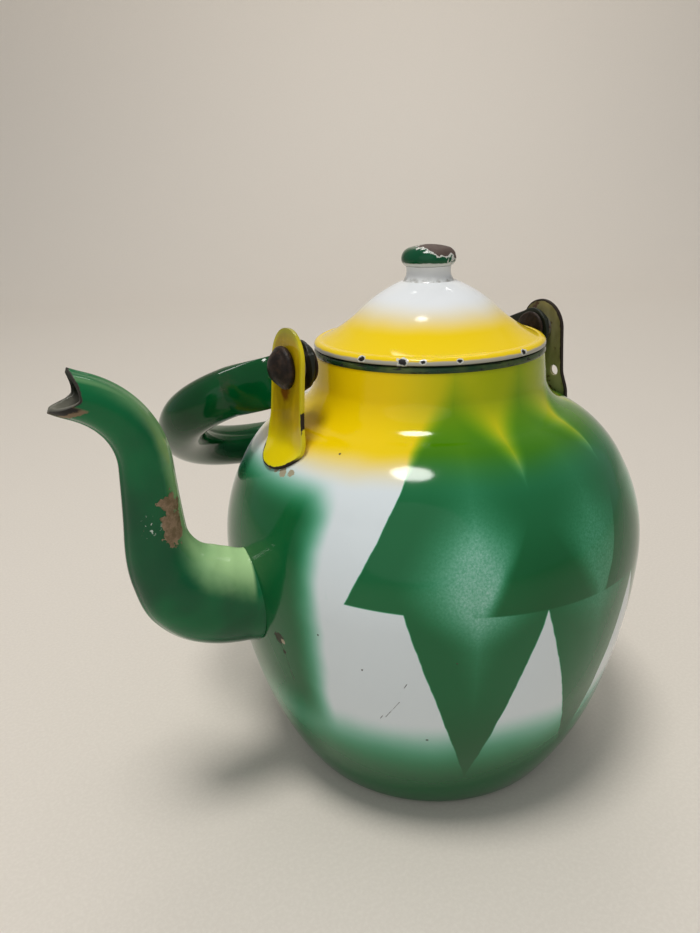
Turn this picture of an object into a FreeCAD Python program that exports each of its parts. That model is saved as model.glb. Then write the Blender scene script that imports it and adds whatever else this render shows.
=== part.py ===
import FreeCAD, Part
import math
import os
import Sketcher

# Enamelled sheet-steel kettle with a swan-neck spout, a lift-off lid and a swinging bail handle.
# Millimetres, +Z up, origin at the centre of the base, spout along -X, handle laid back to +Y.

vector = FreeCAD.Vector
across_x = vector(1, 0, 0)
across_y = vector(0, 1, 0)
upright = vector(0, 0, 1)

doc = FreeCAD.newDocument("kettle")
sheet = doc.addObject("Spreadsheet::Sheet", "Sizes")

sizes = [
    # Body of revolution: radii and heights of its outer line, and the curve that leads up to each
    ("sheet_wall", 1.2, "enamelled sheet of body, base and lid"),
    ("base_radius", 60.5, "outer edge of the foot"),
    ("heel_radius", 64.0, "where the foot's round edge ends"),
    ("heel_height", 3.2, ""),
    ("heel_curve", 8.5, ""),
    ("hip_radius", 81.1, "lower belly"),
    ("hip_height", 43.2, ""),
    ("hip_curve", 150.0, ""),
    ("belly_radius", 90.0, "widest place"),
    ("belly_height", 100.0, ""),
    ("belly_curve", 250.0, ""),
    ("upper_radius", 81.4, "where the belly turns into the shoulder"),
    ("upper_height", 136.9, ""),
    ("upper_curve", 69.0, ""),
    ("shoulder_radius", 58.5, "inner end of the shoulder"),
    ("shoulder_height", 159.3, ""),
    ("shoulder_curve", 46.5, ""),
    ("neck_root_radius", 48.4, "foot of the neck"),
    ("neck_root_height", 171.2, ""),
    ("neck_curve", 16.0, "hollow round between shoulder and neck"),
    ("neck_radius", 47.3, "neck at the mouth"),
    ("neck_height", 182.8, ""),
    ("base_lip", 4.0, "height of the base plate's turned-up edge"),
    ("seam_gap", 0.1, "between pieces that are closed into each other"),
    # Mouth rim
    ("rim_proud", 0.3, "rim outside the neck"),
    ("rim_side", 1.2, "straight side of the bead"),
    ("rim_height", 2.2, ""),
    ("rim_curve", 1.0, "crown of the bead"),
    # Strainer in the wall behind the spout
    ("strainer_hole_radius", 3.2, ""),
    ("strainer_pitch", 11.0, "ring of holes round the middle one"),
    # Spout: centre line of lower bend, riser, upper bend and straight tip
    ("spout_sheet", 1.2, ""),
    ("spout_reach", 122.4, "riser's distance from the kettle's axis"),
    ("spout_root_height", 95.0, ""),
    ("spout_bend", 36.0, "radius of the lower bend"),
    ("spout_riser", 26.0, "length of the upright stretch"),
    ("spout_crook", 30.0, "radius of the upper bend"),
    ("spout_crook_angle", 68.0, "turn of the upper bend"),
    ("spout_tip_length", 16.0, "straight tip before its mouth is cut"),
    ("spout_root_tall", 19.4, "half heights and half widths along the centre line"),
    ("spout_root_wide", 14.2, ""),
    ("spout_knee_angle", 30.0, ""),
    ("spout_knee_tall", 19.5, ""),
    ("spout_knee_wide", 14.2, ""),
    ("spout_throat_angle", 50.0, ""),
    ("spout_throat_tall", 17.9, ""),
    ("spout_throat_wide", 13.2, ""),
    ("spout_waist_angle", 68.0, ""),
    ("spout_waist_tall", 13.9, ""),
    ("spout_waist_wide", 10.8, ""),
    ("spout_riser_tall", 10.5, ""),
    ("spout_riser_wide", 8.9, ""),
    ("spout_neck_tall", 9.0, ""),
    ("spout_neck_wide", 7.9, ""),
    ("spout_hook_angle", 35.0, ""),
    ("spout_hook_tall", 8.3, ""),
    ("spout_hook_wide", 7.4, ""),
    ("spout_tip_tall", 8.0, ""),
    ("spout_tip_wide", 7.3, ""),
    ("spout_lip_tall", 8.4, ""),
    ("spout_lip_wide", 7.8, ""),
    ("mouth_upper_lip", 6.6, "upper lip's distance along the tip"),
    ("mouth_lower_lip", 7.6, "lower lip's distance along the tip"),
    ("mouth_notch", 1.2, "depth of the side notches along the tip"),
    # Lid
    ("lid_overhang", 0.3, "lid's edge outside the neck"),
    ("lid_seat_gap", 0.3, "between lid and rim"),
    ("lid_lip", 0.8, "upright edge of the lid"),
    ("lid_brow_inset", 3.0, "round shoulder above that edge"),
    ("lid_brow_rise", 2.9, ""),
    ("lid_brow_curve", 2.25, ""),
    ("lid_middle_radius", 28.5, "where the flared brim turns into the crown"),
    ("lid_middle_rise", 13.5, ""),
    ("lid_swell", 55.0, "round of the crown"),
    ("lid_hollow", 60.0, "flare of the brim"),
    ("knob_seat_radius", 11.0, "flat top of the lid"),
    ("knob_seat_rise", 25.0, ""),
    ("collar_sheet", 1.0, ""),
    ("collar_gap", 0.9, "between lid collar and neck"),
    ("collar_depth", 15.0, ""),
    # Knob
    ("knob_shank_radius", 2.5, ""),
    ("knob_neck_height", 5.8, ""),
    ("knob_neck_foot", 10.4, "radii of the spool"),
    ("knob_neck_waist", 9.0, ""),
    ("knob_neck_curve", 5.0, ""),
    ("knob_radius", 11.0, ""),
    ("knob_height", 8.2, ""),
    ("knob_edge_rise", 3.6, "height of the knob's widest place"),
    ("knob_under_curve", 4.2, ""),
    ("knob_bore_depth", 5.0, ""),
    ("knob_washer_radius", 7.0, ""),
    ("knob_washer_thickness", 1.0, ""),
    ("knob_clench_radius", 4.2, ""),
    ("knob_clench_height", 2.2, ""),
    # Pivots of the handle
    ("pivot_rise", 1.2, "pivot above the neck's end"),
    ("shank_radius", 3.0, ""),
    ("shank_play", 0.05, "running clearance in the handle's lugs"),
    ("shank_fit", 0.03, "clearance in pieces that stay still"),
    ("rivet_head_radius", 8.2, ""),
    ("rivet_head_height", 7.0, ""),
    ("cap_radius", 8.0, ""),
    ("cap_height", 2.6, ""),
    ("cap_bore_depth", 1.6, ""),
    ("lid_side_gap", 7.5, "between lid's edge and rivet cap"),
    ("lug_play", 0.3, "at each face of the handle's lugs"),
    ("lug_sheet", 2.4, "flattened thickness of the lugs"),
    ("ear_gap", 4.3, "between lugs and ears"),
    ("spacer_radius", 6.0, ""),
    # Ears
    ("ear_sheet", 1.5, ""),
    ("ear_half_width", 12.4, ""),
    ("ear_lift", 1.0, "centre of the round top above the pivot"),
    ("ear_foot_radius", 14.8, "round foot on the shoulder"),
    ("ear_foot_reach", 3.7, "foot's centre inside the ear's outer face"),
    ("ear_foot_sink", 3.0, "foot's stock below the shoulder, cut to fit it"),
    ("ear_hole_radius", 2.3, "hole in the rear ear"),
    ("ear_hole_drop", 18.8, "that hole below the pivot"),
    ("ear_hole_side", 7.9, "that hole beside the ear's middle"),
    # Handle
    ("tube_radius", 10.0, ""),
    ("tube_wall", 1.2, ""),
    ("bow_depth", 115.6, "grip's distance from the pivots"),
    ("bow_half_width", 92.4, ""),
    ("bow_hook", 30.0, "bend that leads back to the lugs"),
    ("bow_hook_angle", 55.0, ""),
    ("arm_offset", 3.7, "bow's plane above the pivots when it is laid back"),
    ("handle_rest_gap", 0.3, "between handle and belly when it is laid back"),
    ("lug_radius", 9.4, "round eye of the lug"),
    ("lug_reach", 20.5, "flat stretch from the pivot"),
    ("lug_run", 8.125439, "bent stretch between the flat and the bow's end, along the arm"),
    ("lug_end_half_height", 10.3, "end of that stretch"),
    ("lug_swell_half_height", 10.8, "section half-way from flat to round"),
    ("lug_swell_half_thickness", 4.2, ""),
    ("lug_swell_angle", 44.0, "heading of that section"),
]

# Sizes that follow from the others
derived = [
    ("rim_crown_radius", "=neck_radius + (rim_proud - sheet_wall) / 2"),
    ("lid_radius", "=neck_radius + lid_overhang"),
    ("lid_edge_height", "=neck_height + rim_height + lid_seat_gap"),
    ("knob_seat_height", "=lid_edge_height + knob_seat_rise"),
    ("pivot_height", "=neck_height + pivot_rise"),
    ("cap_inner", "=lid_radius + lid_side_gap"),
    ("lug_inner", "=cap_inner + cap_height + lug_play"),
    ("lug_outer", "=lug_inner + lug_sheet"),
    ("ear_inner", "=lug_outer + ear_gap"),
    ("ear_face", "=ear_inner + ear_sheet"),
    ("spacer_length", "=ear_gap - lug_play"),
    ("strainer_depth", "=belly_radius + sheet_wall"),
    ("lug_half_sheet", "=lug_sheet / 2"),
    ("lug_end_top", "=arm_offset + lug_end_half_height"),
    ("lug_end_foot", "=arm_offset - lug_end_half_height"),
    # Domes are caps of a ball whose centre lies on their own axis
    ("rivet_head_dome", "=(rivet_head_radius ^ 2 + rivet_head_height ^ 2) / (2 * rivet_head_height)"),
    ("cap_dome", "=(cap_radius ^ 2 + cap_height ^ 2) / (2 * cap_height)"),
    ("knob_crown", "=knob_height - knob_edge_rise"),
    ("knob_dome", "=(knob_radius ^ 2 + knob_crown ^ 2) / (2 * knob_crown)"),
]

# How many stations each bend of the spout has, and how many strainer holes stand round the middle one
bend_steps = 8
crook_steps = 5
strainer_count = 6

for row, entry in enumerate(sizes + derived, start=1):
    place = "B%d" % row
    sheet.set("A%d" % row, entry[0])
    sheet.set(place, str(entry[1]))
    sheet.setAlias(place, entry[0])
    if len(entry) == 3:
        sheet.set("C%d" % row, entry[2])
doc.recompute()


def size(name):
    return float(sheet.get(name))


# Spout: a measure that is given at places along the centre line, with straight tapers between them
def tapered(distance, places):
    for (start, first), (end, last) in zip(places, places[1:]):
        if distance <= end:
            share = (distance - start) / (end - start)
            return first + (last - first) * max(share, 0.0)
    return places[-1][1]


# Stations along the centre line as (reach, height, lean above the level, half height, half width)
def spout_stations():
    bend = size("spout_bend")
    crook = size("spout_crook")
    reach = size("spout_reach")
    root = size("spout_root_height")
    bend_end = bend * math.pi / 2
    crook_start = bend_end + size("spout_riser")
    crook_end = crook_start + crook * math.radians(size("spout_crook_angle"))
    marks = [("root", 0.0)]
    for name in ("knee", "throat", "waist"):
        marks.append((name, bend * math.radians(size("spout_%s_angle" % name))))
    marks.append(("riser", bend_end))
    marks.append(("neck", crook_start))
    marks.append(("hook", crook_start + crook * math.radians(size("spout_hook_angle"))))
    marks.append(("tip", crook_end))
    tall = [(distance, size("spout_%s_tall" % name)) for name, distance in marks]
    wide = [(distance, size("spout_%s_wide" % name)) for name, distance in marks]

    stations = [(size("neck_radius"), root, 0.0, size("spout_root_tall"), size("spout_root_wide"))]
    for step in range(bend_steps + 1):
        lean = math.pi / 2 * step / bend_steps
        stations.append((
            reach - bend + bend * math.sin(lean),
            root + bend - bend * math.cos(lean),
            math.degrees(lean),
            tapered(bend * lean, tall),
            tapered(bend * lean, wide),
        ))
    for step in range(crook_steps + 1):
        turn = math.radians(size("spout_crook_angle")) * step / crook_steps
        stations.append((
            reach + crook - crook * math.cos(turn),
            root + bend + size("spout_riser") + crook * math.sin(turn),
            90.0 - math.degrees(turn),
            tapered(crook_start + crook * turn, tall),
            tapered(crook_start + crook * turn, wide),
        ))
    tip = stations[-1]
    lean = math.radians(tip[2])
    length = size("spout_tip_length")
    stations.append((
        tip[0] + length * math.cos(lean),
        tip[1] + length * math.sin(lean),
        tip[2],
        size("spout_lip_tall"),
        size("spout_lip_wide"),
    ))
    return stations


# Radius of the arc that runs from the top of an oval half over its widest place to its foot
def oval_curve(tall, wide):
    return (tall * tall + wide * wide) / (2 * wide)


# Ring of strainer holes about the spout's root, seen along the spout
def strainer_spots():
    turns = [2 * math.pi * index / strainer_count for index in range(strainer_count)]
    pitch = size("strainer_pitch")
    root = size("spout_root_height")
    return [(pitch * math.cos(turn), root + pitch * math.sin(turn)) for turn in turns]


# Where the handle's tube ends and its lugs begin
def hook_end():
    turn = math.radians(size("bow_hook_angle"))
    hook = size("bow_hook")
    x = size("bow_half_width") - hook * (1 - math.cos(turn))
    return vector(x, size("lug_reach") + size("lug_run"), 0)


# The corner takes up what the hook and the lug leave of the bow's depth
def bow_corner():
    turn = math.radians(size("bow_hook_angle"))
    return size("bow_depth") - size("bow_hook") * math.sin(turn) - hook_end().y


# Numbers that the code works out get cells too, so that sketches can be bound to them
worked_out = [("hook_end_x", hook_end().x), ("hook_end_y", hook_end().y), ("bow_corner", bow_corner())]
for index, (_, _, _, tall, wide) in enumerate(spout_stations()):
    wall = size("spout_sheet")
    worked_out.append(("station_tall_%d" % index, tall))
    worked_out.append(("station_wide_%d" % index, wide))
    worked_out.append(("station_curve_%d" % index, oval_curve(tall, wide)))
    worked_out.append(("station_bore_curve_%d" % index, oval_curve(tall - wall, wide - wall)))
for index, (across, up) in enumerate(strainer_spots()):
    worked_out += [("strainer_across_%d" % index, across), ("strainer_up_%d" % index, up)]
for row, (name, number) in enumerate(worked_out, start=1):
    sheet.set("D%d" % row, name)
    sheet.set("E%d" % row, repr(number))
    sheet.setAlias("E%d" % row, name)
doc.recompute()


# A length is written as words, such as "neck_radius - sheet_wall", and read in two ways:
# as a number that places the geometry, and as an expression that binds it to the sheet.
def value(words):
    total = 0.0
    sign = 1.0
    for word in words.split():
        if word in "+-":
            sign = -1.0 if word == "-" else 1.0
        elif word != "0":
            total += sign * size(word)
    return total


def bound(words):
    return " ".join(word if word in "+-0" else "Sizes." + word for word in words.split())


def origin_plane(body, role):
    return [feature for feature in body.Origin.OriginFeatures if feature.Role == role][0]


def new_body(label):
    body = doc.addObject("PartDesign::Body", label)
    body.Label = label
    return body


def new_sketch(body, role, name, offset=None):
    sketch = body.newObject("Sketcher::SketchObject", name)
    sketch.AttachmentSupport = [(origin_plane(body, role), "")]
    sketch.MapMode = "FlatFace"
    if offset:
        sketch.setExpression("AttachmentOffset.Base.z", bound(offset))
    return sketch


def bind(sketch, constraint, name, words):
    number = sketch.addConstraint(constraint)
    sketch.renameConstraint(number, name)
    sketch.setExpression("Constraints." + name, bound(words))


def bind_point(sketch, geometry, vertex, name, x_words, y_words):
    if value(x_words) == 0.0:
        sketch.addConstraint(Sketcher.Constraint("PointOnObject", geometry, vertex, -2))
    else:
        spread = Sketcher.Constraint("DistanceX", -1, 1, geometry, vertex, value(x_words))
        bind(sketch, spread, name + "_x", x_words)
    if value(y_words) == 0.0:
        sketch.addConstraint(Sketcher.Constraint("PointOnObject", geometry, vertex, -1))
    else:
        rise = Sketcher.Constraint("DistanceY", -1, 1, geometry, vertex, value(y_words))
        bind(sketch, rise, name + "_y", y_words)


def arc_centre(start, end, radius, turn):
    chord = end - start
    half = chord.Length / 2
    left = vector(-chord.y, chord.x, 0).normalize()
    return (start + end) / 2 + left * (turn * math.sqrt(radius * radius - half * half))


def arc_geometry(start, end, radius, turn):
    centre = arc_centre(start, end, radius, turn)
    first, last = (start, end) if turn > 0 else (end, start)
    begin = math.atan2(first.y - centre.y, first.x - centre.x)
    finish = math.atan2(last.y - centre.y, last.x - centre.x)
    if finish < begin:
        finish += 2 * math.pi
    return Part.ArcOfCircle(Part.Circle(centre, upright, radius), begin, finish)


left_turn = 1
right_turn = -1


# An outline is a list of corners (x, y) or (x, y, curve, turn), where curve is the radius of the
# arc that leads to the corner, and turn says which way the arc bends.
def trace(sketch, outline, closed=True):
    points = [vector(value(corner[0]), value(corner[1]), 0) for corner in outline]
    ends = []
    for index in range(0 if closed else 1, len(outline)):
        start = points[index - 1]
        end = points[index]
        corner = outline[index]
        if len(corner) == 2:
            number = sketch.addGeometry(Part.LineSegment(start, end), False)
            ends.append((number, 1, 2))
        else:
            radius = value(corner[2])
            number = sketch.addGeometry(arc_geometry(start, end, radius, corner[3]), False)
            ends.append((number, 1, 2) if corner[3] == left_turn else (number, 2, 1))
            bend = Sketcher.Constraint("Radius", number, radius)
            bind(sketch, bend, "curve_%d" % index, corner[2])
        bind_point(sketch, number, ends[-1][2], "corner_%d" % index, corner[0], corner[1])
    for index in range(0 if closed else 1, len(ends)):
        last = ends[index - 1]
        here = ends[index]
        sketch.addConstraint(Sketcher.Constraint("Coincident", last[0], last[2], here[0], here[1]))
    if not closed:
        bind_point(sketch, ends[0][0], ends[0][1], "start", outline[0][0], outline[0][1])


def circle(sketch, name, x_words, y_words, radius_words):
    middle = vector(value(x_words), value(y_words), 0)
    round_line = Part.Circle(middle, upright, value(radius_words))
    number = sketch.addGeometry(round_line, False)
    bind_point(sketch, number, 3, name, x_words, y_words)
    bend = Sketcher.Constraint("Radius", number, value(radius_words))
    bind(sketch, bend, name + "_radius", radius_words)


# A turned piece: its outline lies in the XZ plane and goes round the upright or the level axis.
def turned(label, outline, axis="V_Axis"):
    body = new_body(label)
    sketch = new_sketch(body, "XZ_Plane", label + "_outline")
    trace(sketch, outline)
    turning = body.newObject("PartDesign::Revolution", label + "_turning")
    turning.Profile = sketch
    turning.ReferenceAxis = (sketch, [axis])
    turning.Angle = 360.0
    doc.recompute()
    return body


def pad(body, sketch, name, length):
    feature = body.newObject("PartDesign::Pad", name)
    feature.Profile = sketch
    feature.setExpression("Length", bound(length))
    return feature


def pocket(body, sketch, name, length, reverse):
    feature = body.newObject("PartDesign::Pocket", name)
    feature.Profile = sketch
    feature.setExpression("Length", bound(length))
    feature.Reversed = reverse
    return feature


def primitive(kind, name, **measures):
    solid = doc.addObject(kind, name)
    for measure, words in measures.items():
        solid.setExpression(measure, bound(words))
    return solid


def combine(kind, label, base, tool):
    result = doc.addObject(kind, label)
    result.Label = label
    result.Base = base
    result.Tool = tool
    doc.recompute()
    return result


# Body, base and rim
def body_line():
    return [
        ("base_radius", "0"),
        ("heel_radius", "heel_height", "heel_curve", left_turn),
        ("hip_radius", "hip_height", "hip_curve", left_turn),
        ("belly_radius", "belly_height", "belly_curve", left_turn),
        ("upper_radius", "upper_height", "upper_curve", left_turn),
        ("shoulder_radius", "shoulder_height", "shoulder_curve", left_turn),
        ("neck_root_radius", "neck_root_height", "neck_curve", right_turn),
        ("neck_radius", "neck_height"),
    ]


def body_inner_line():
    return [
        ("neck_radius - sheet_wall", "neck_height"),
        ("neck_root_radius - sheet_wall", "neck_root_height"),
        ("shoulder_radius - sheet_wall", "shoulder_height - sheet_wall",
         "neck_curve + sheet_wall", left_turn),
        ("upper_radius - sheet_wall", "upper_height", "shoulder_curve - sheet_wall", right_turn),
        ("belly_radius - sheet_wall", "belly_height", "upper_curve - sheet_wall", right_turn),
        ("hip_radius - sheet_wall", "hip_height", "belly_curve - sheet_wall", right_turn),
        ("heel_radius - sheet_wall", "heel_height", "hip_curve - sheet_wall", right_turn),
        ("base_radius - sheet_wall", "0", "heel_curve - sheet_wall", right_turn),
    ]


# The body's full volume, used to fit what sits on its outside
def make_body_core():
    return turned("body_core", body_line() + [("0", "neck_height"), ("0", "0")])


def make_body_shell():
    body = turned("body_shell", body_line() + body_inner_line())
    whole = body.Shape.Volume
    sketch = new_sketch(body, "YZ_Plane", "strainer")
    circle(sketch, "middle", "0", "spout_root_height", "strainer_hole_radius")
    for index in range(strainer_count):
        circle(sketch, "ring_%d" % index, "strainer_across_%d" % index, "strainer_up_%d" % index,
               "strainer_hole_radius")
    pocket(body, sketch, "strainer_holes", "strainer_depth", False)
    doc.recompute()
    assert body.Shape.Volume < whole, "the strainer holes cut nothing"
    return body


def make_base_plate():
    edge = "base_radius - sheet_wall - seam_gap"
    inner_edge = edge + " - sheet_wall"
    return turned("base_plate", [
        ("0", "0"),
        (edge, "0"),
        (edge, "base_lip"),
        (inner_edge, "base_lip"),
        (inner_edge, "sheet_wall"),
        ("0", "sheet_wall"),
    ])


def make_mouth_rim():
    return turned("mouth_rim", [
        ("neck_radius - sheet_wall", "neck_height"),
        ("neck_radius + rim_proud", "neck_height"),
        ("neck_radius + rim_proud", "neck_height + rim_side"),
        ("rim_crown_radius", "neck_height + rim_height", "rim_curve", left_turn),
        ("neck_radius - sheet_wall", "neck_height + rim_side", "rim_curve", left_turn),
    ])


# One pressed half: half of an oval ring at each station, joined by straight lines
def make_spout_half(label, mouth_cutter, core):
    body = new_body(label + "_blank")
    sections = []
    for index, (reach, height, lean, _, _) in enumerate(spout_stations()):
        tall = "station_tall_%d" % index
        wide = "station_wide_%d" % index
        curve = "station_curve_%d" % index
        bore = "station_bore_curve_%d" % index
        sketch = new_sketch(body, "XY_Plane", "%s_station_%d" % (label, index))
        facing = FreeCAD.Rotation(across_y, 90.0 - lean) * FreeCAD.Rotation(upright, 90.0)
        sketch.AttachmentOffset = FreeCAD.Placement(vector(reach, 0, height), facing)
        trace(sketch, [
            ("0", tall),
            (wide, "0", curve, right_turn),
            ("0", "- " + tall, curve, right_turn),
            ("0", "- " + tall + " + spout_sheet"),
            (wide + " - spout_sheet", "0", bore, left_turn),
            ("0", tall + " - spout_sheet", bore, left_turn),
        ])
        sections.append(sketch)
    loft = body.newObject("PartDesign::AdditiveLoft", label + "_pressing")
    loft.Profile = sections[0]
    loft.Sections = sections[1:]
    loft.Ruled = True
    doc.recompute()
    seated = combine("Part::Cut", label + "_seated", body, core)
    return combine("Part::Cut", label, seated, mouth_cutter)


# Everything beyond the two lips and the notch between them, drawn along the tip's own axis
def make_mouth_cutter():
    tip = spout_stations()[-2]
    body = new_body("mouth_cutter")
    sketch = new_sketch(body, "XZ_Plane", "mouth_outline")
    trace(sketch, [
        ("mouth_upper_lip", "spout_lip_tall"),
        ("mouth_notch", "0"),
        ("mouth_lower_lip", "- spout_lip_tall"),
        ("mouth_lower_lip", "- spout_lip_tall - spout_lip_tall"),
        ("spout_tip_length + spout_lip_tall", "- spout_lip_tall - spout_lip_tall"),
        ("spout_tip_length + spout_lip_tall", "spout_lip_tall + spout_lip_tall"),
        ("mouth_upper_lip", "spout_lip_tall + spout_lip_tall"),
    ])
    feature = pad(body, sketch, "mouth_cut", "spout_lip_tall + spout_lip_tall + spout_lip_tall")
    feature.Midplane = True
    lean = FreeCAD.Rotation(across_y, -tip[2])
    body.Placement = FreeCAD.Placement(vector(tip[0], 0, tip[1]), lean)
    doc.recompute()
    return body


# Both halves have the same drawing: the right one is mirrored in the middle plane
def make_spout(core):
    cutter = make_mouth_cutter()
    left = make_spout_half("spout_left_half", cutter, core)
    left.Placement = FreeCAD.Placement(vector(), FreeCAD.Rotation(upright, 180.0))
    right = doc.addObject("Part::Mirroring", "spout_right_half")
    right.Label = "spout_right_half"
    right.Source = left
    right.Normal = across_y
    doc.recompute()
    return [left, right]


# Lid and knob
def make_lid_dome():
    edge = "lid_edge_height"
    seat = "knob_seat_height"
    bore = "knob_shank_radius + shank_fit"
    return turned("lid_dome", [
        ("lid_radius - sheet_wall", edge),
        ("lid_radius", edge),
        ("lid_radius", edge + " + lid_lip"),
        ("lid_radius - lid_brow_inset", edge + " + lid_brow_rise", "lid_brow_curve", left_turn),
        ("lid_middle_radius", edge + " + lid_middle_rise", "lid_hollow", right_turn),
        ("knob_seat_radius", seat, "lid_swell", left_turn),
        (bore, seat),
        (bore, seat + " - sheet_wall"),
        ("knob_seat_radius - sheet_wall", seat + " - sheet_wall"),
        ("lid_middle_radius - sheet_wall", edge + " + lid_middle_rise - sheet_wall",
         "lid_swell", right_turn),
        ("lid_radius - lid_brow_inset - sheet_wall", edge + " + lid_brow_rise - sheet_wall",
         "lid_hollow", left_turn),
        ("lid_radius - sheet_wall", edge + " + lid_lip", "lid_brow_curve", right_turn),
    ])


def make_lid_collar():
    outer = "neck_radius - sheet_wall - collar_gap"
    inner = outer + " - collar_sheet"
    flange = "lid_radius - sheet_wall - seam_gap"
    top = "lid_edge_height + collar_sheet"
    return turned("lid_collar", [
        (inner, "lid_edge_height - collar_depth"),
        (outer, "lid_edge_height - collar_depth"),
        (outer, "lid_edge_height"),
        (flange, "lid_edge_height"),
        (flange, top),
        (inner, top),
    ])


def make_knob():
    seat = "knob_seat_height"
    top = seat + " + knob_neck_height"
    bore = "knob_shank_radius + shank_fit"
    neck = turned("knob_neck", [
        (bore, seat),
        ("knob_neck_foot", seat),
        ("knob_neck_waist", top, "knob_neck_curve", right_turn),
        (bore, top),
    ])
    cap = turned("knob_cap", [
        ("knob_neck_waist", top),
        ("knob_radius", top + " + knob_edge_rise", "knob_under_curve", left_turn),
        ("0", top + " + knob_height", "knob_dome", left_turn),
        ("0", top + " + knob_bore_depth"),
        (bore, top + " + knob_bore_depth"),
        (bore, top),
    ])
    below = seat + " - sheet_wall"
    washer = turned("knob_washer", [
        (bore, below + " - knob_washer_thickness"),
        ("knob_washer_radius", below + " - knob_washer_thickness"),
        ("knob_washer_radius", below),
        (bore, below),
    ])
    clench = below + " - knob_washer_thickness"
    rivet = turned("knob_rivet", [
        ("0", clench + " - knob_clench_height"),
        ("knob_shank_radius", clench + " - knob_clench_height"),
        ("knob_clench_radius", clench),
        ("knob_shank_radius", clench),
        ("knob_shank_radius", top + " + knob_bore_depth"),
        ("0", top + " + knob_bore_depth"),
    ])
    return [neck, cap, washer, rivet]


# Pivots: the same pieces on both sides, drawn along +X from the axis of the kettle
def side_place(front, height_words):
    turn = FreeCAD.Rotation(upright, 180.0 if front else 0.0)
    return FreeCAD.Placement(vector(0, 0, value(height_words)), turn)


def make_pivot(side):
    front = side == "front"
    bore = "shank_radius + shank_fit"
    shank_end = "cap_inner + cap_height - cap_bore_depth"
    rivet = turned(side + "_pivot_rivet", [
        (shank_end, "0"),
        ("ear_face + rivet_head_height", "0"),
        ("ear_face", "rivet_head_radius", "rivet_head_dome", left_turn),
        ("ear_face", "shank_radius"),
        (shank_end, "shank_radius"),
    ], "H_Axis")
    cap = turned(side + "_rivet_cap", [
        (shank_end, "0"),
        (shank_end, bore),
        ("cap_inner + cap_height", bore),
        ("cap_inner + cap_height", "cap_radius"),
        ("cap_inner", "0", "cap_dome", left_turn),
    ], "H_Axis")
    spacer = turned(side + "_spacer", [
        ("ear_inner - spacer_length", bore),
        ("ear_inner", bore),
        ("ear_inner", "spacer_radius"),
        ("ear_inner - spacer_length", "spacer_radius"),
    ], "H_Axis")
    for piece in (rivet, cap, spacer):
        piece.Placement = side_place(front, "pivot_height")
    return [rivet, cap, spacer]


# Ears: a flat strap that runs down to the shoulder, and a round foot that lies on it
def ear_outline(half, left):
    middle = "pivot_height + ear_lift"
    return [
        (left, "upper_height"),
        (half, "upper_height"),
        (half, middle),
        ("0", middle + " + " + half, half, left_turn),
        (left, middle, half, left_turn),
    ]


def make_ear(side, core):
    strap = new_body(side + "_strap")
    outline = new_sketch(strap, "YZ_Plane", side + "_strap_outline", "ear_inner")
    trace(outline, ear_outline("ear_half_width", "- ear_half_width"))
    pad(strap, outline, side + "_strap_stock", "ear_sheet")
    doc.recompute()
    whole = strap.Shape.Volume
    holes = new_sketch(strap, "YZ_Plane", side + "_strap_holes")
    circle(holes, "pivot", "0", "pivot_height", "shank_radius + shank_fit")
    if side == "rear":
        circle(holes, "spare", "- ear_hole_side", "pivot_height - ear_hole_drop", "ear_hole_radius")
    pocket(strap, holes, side + "_strap_drilling", "ear_face", True)
    doc.recompute()
    assert strap.Shape.Volume < whole, "the ear's holes cut nothing"

    start = vector(size("upper_radius"), size("upper_height"), 0)
    end = vector(size("shoulder_radius"), size("shoulder_height"), 0)
    centre = arc_centre(start, end, size("shoulder_curve"), left_turn)
    reach = value("ear_face - ear_foot_reach")
    rise = math.sqrt(size("shoulder_curve") ** 2 - (reach - centre.x) ** 2)
    lean = math.degrees(math.atan2(reach - centre.x, rise))
    tilt = FreeCAD.Rotation(across_y, lean)
    foot = primitive(
        "Part::Cylinder", side + "_foot_disc",
        Radius="ear_foot_radius",
        Height="ear_sheet + ear_foot_sink",
    )
    seat = vector(reach, 0, centre.y + rise)
    foot.Placement = FreeCAD.Placement(seat - tilt.multVec(upright) * size("ear_foot_sink"), tilt)
    outside = primitive(
        "Part::Box", side + "_foot_space",
        Length="ear_foot_radius + ear_foot_radius",
        Width="ear_foot_radius + ear_foot_radius",
        Height="pivot_height",
    )
    outside.setExpression("Placement.Base.x", "Sizes.ear_inner")
    outside.setExpression("Placement.Base.y", "-Sizes.ear_foot_radius")
    tongue = combine("Part::Common", side + "_foot", foot, outside)
    blank = combine("Part::Fuse", side + "_ear_blank", strap, tongue)
    ear = combine("Part::Cut", side + "_ear", blank, core)
    ear.Placement = side_place(side == "front", "0")
    return ear


# Handle: drawn flat in its own plane, X along the pivots and Y away from them
def handle_rest_angle():
    start = vector(size("belly_radius"), size("belly_height"), 0)
    end = vector(size("upper_radius"), size("upper_height"), 0)
    centre = arc_centre(start, end, size("upper_curve"), left_turn)
    drop = size("pivot_height") - centre.y
    swing = math.hypot(size("bow_depth"), size("arm_offset"))
    contact = value("upper_curve + tube_radius + handle_rest_gap")
    span = math.hypot(centre.x, drop)
    level = (swing * swing + span * span - contact * contact) / (2 * swing)
    return math.degrees(math.atan2(drop, centre.x) - math.acos(level / span))


def handle_place():
    lean = handle_rest_angle() + math.degrees(math.atan2(size("arm_offset"), size("bow_depth")))
    return FreeCAD.Placement(vector(0, 0, size("pivot_height")), FreeCAD.Rotation(across_x, -lean))


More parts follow.
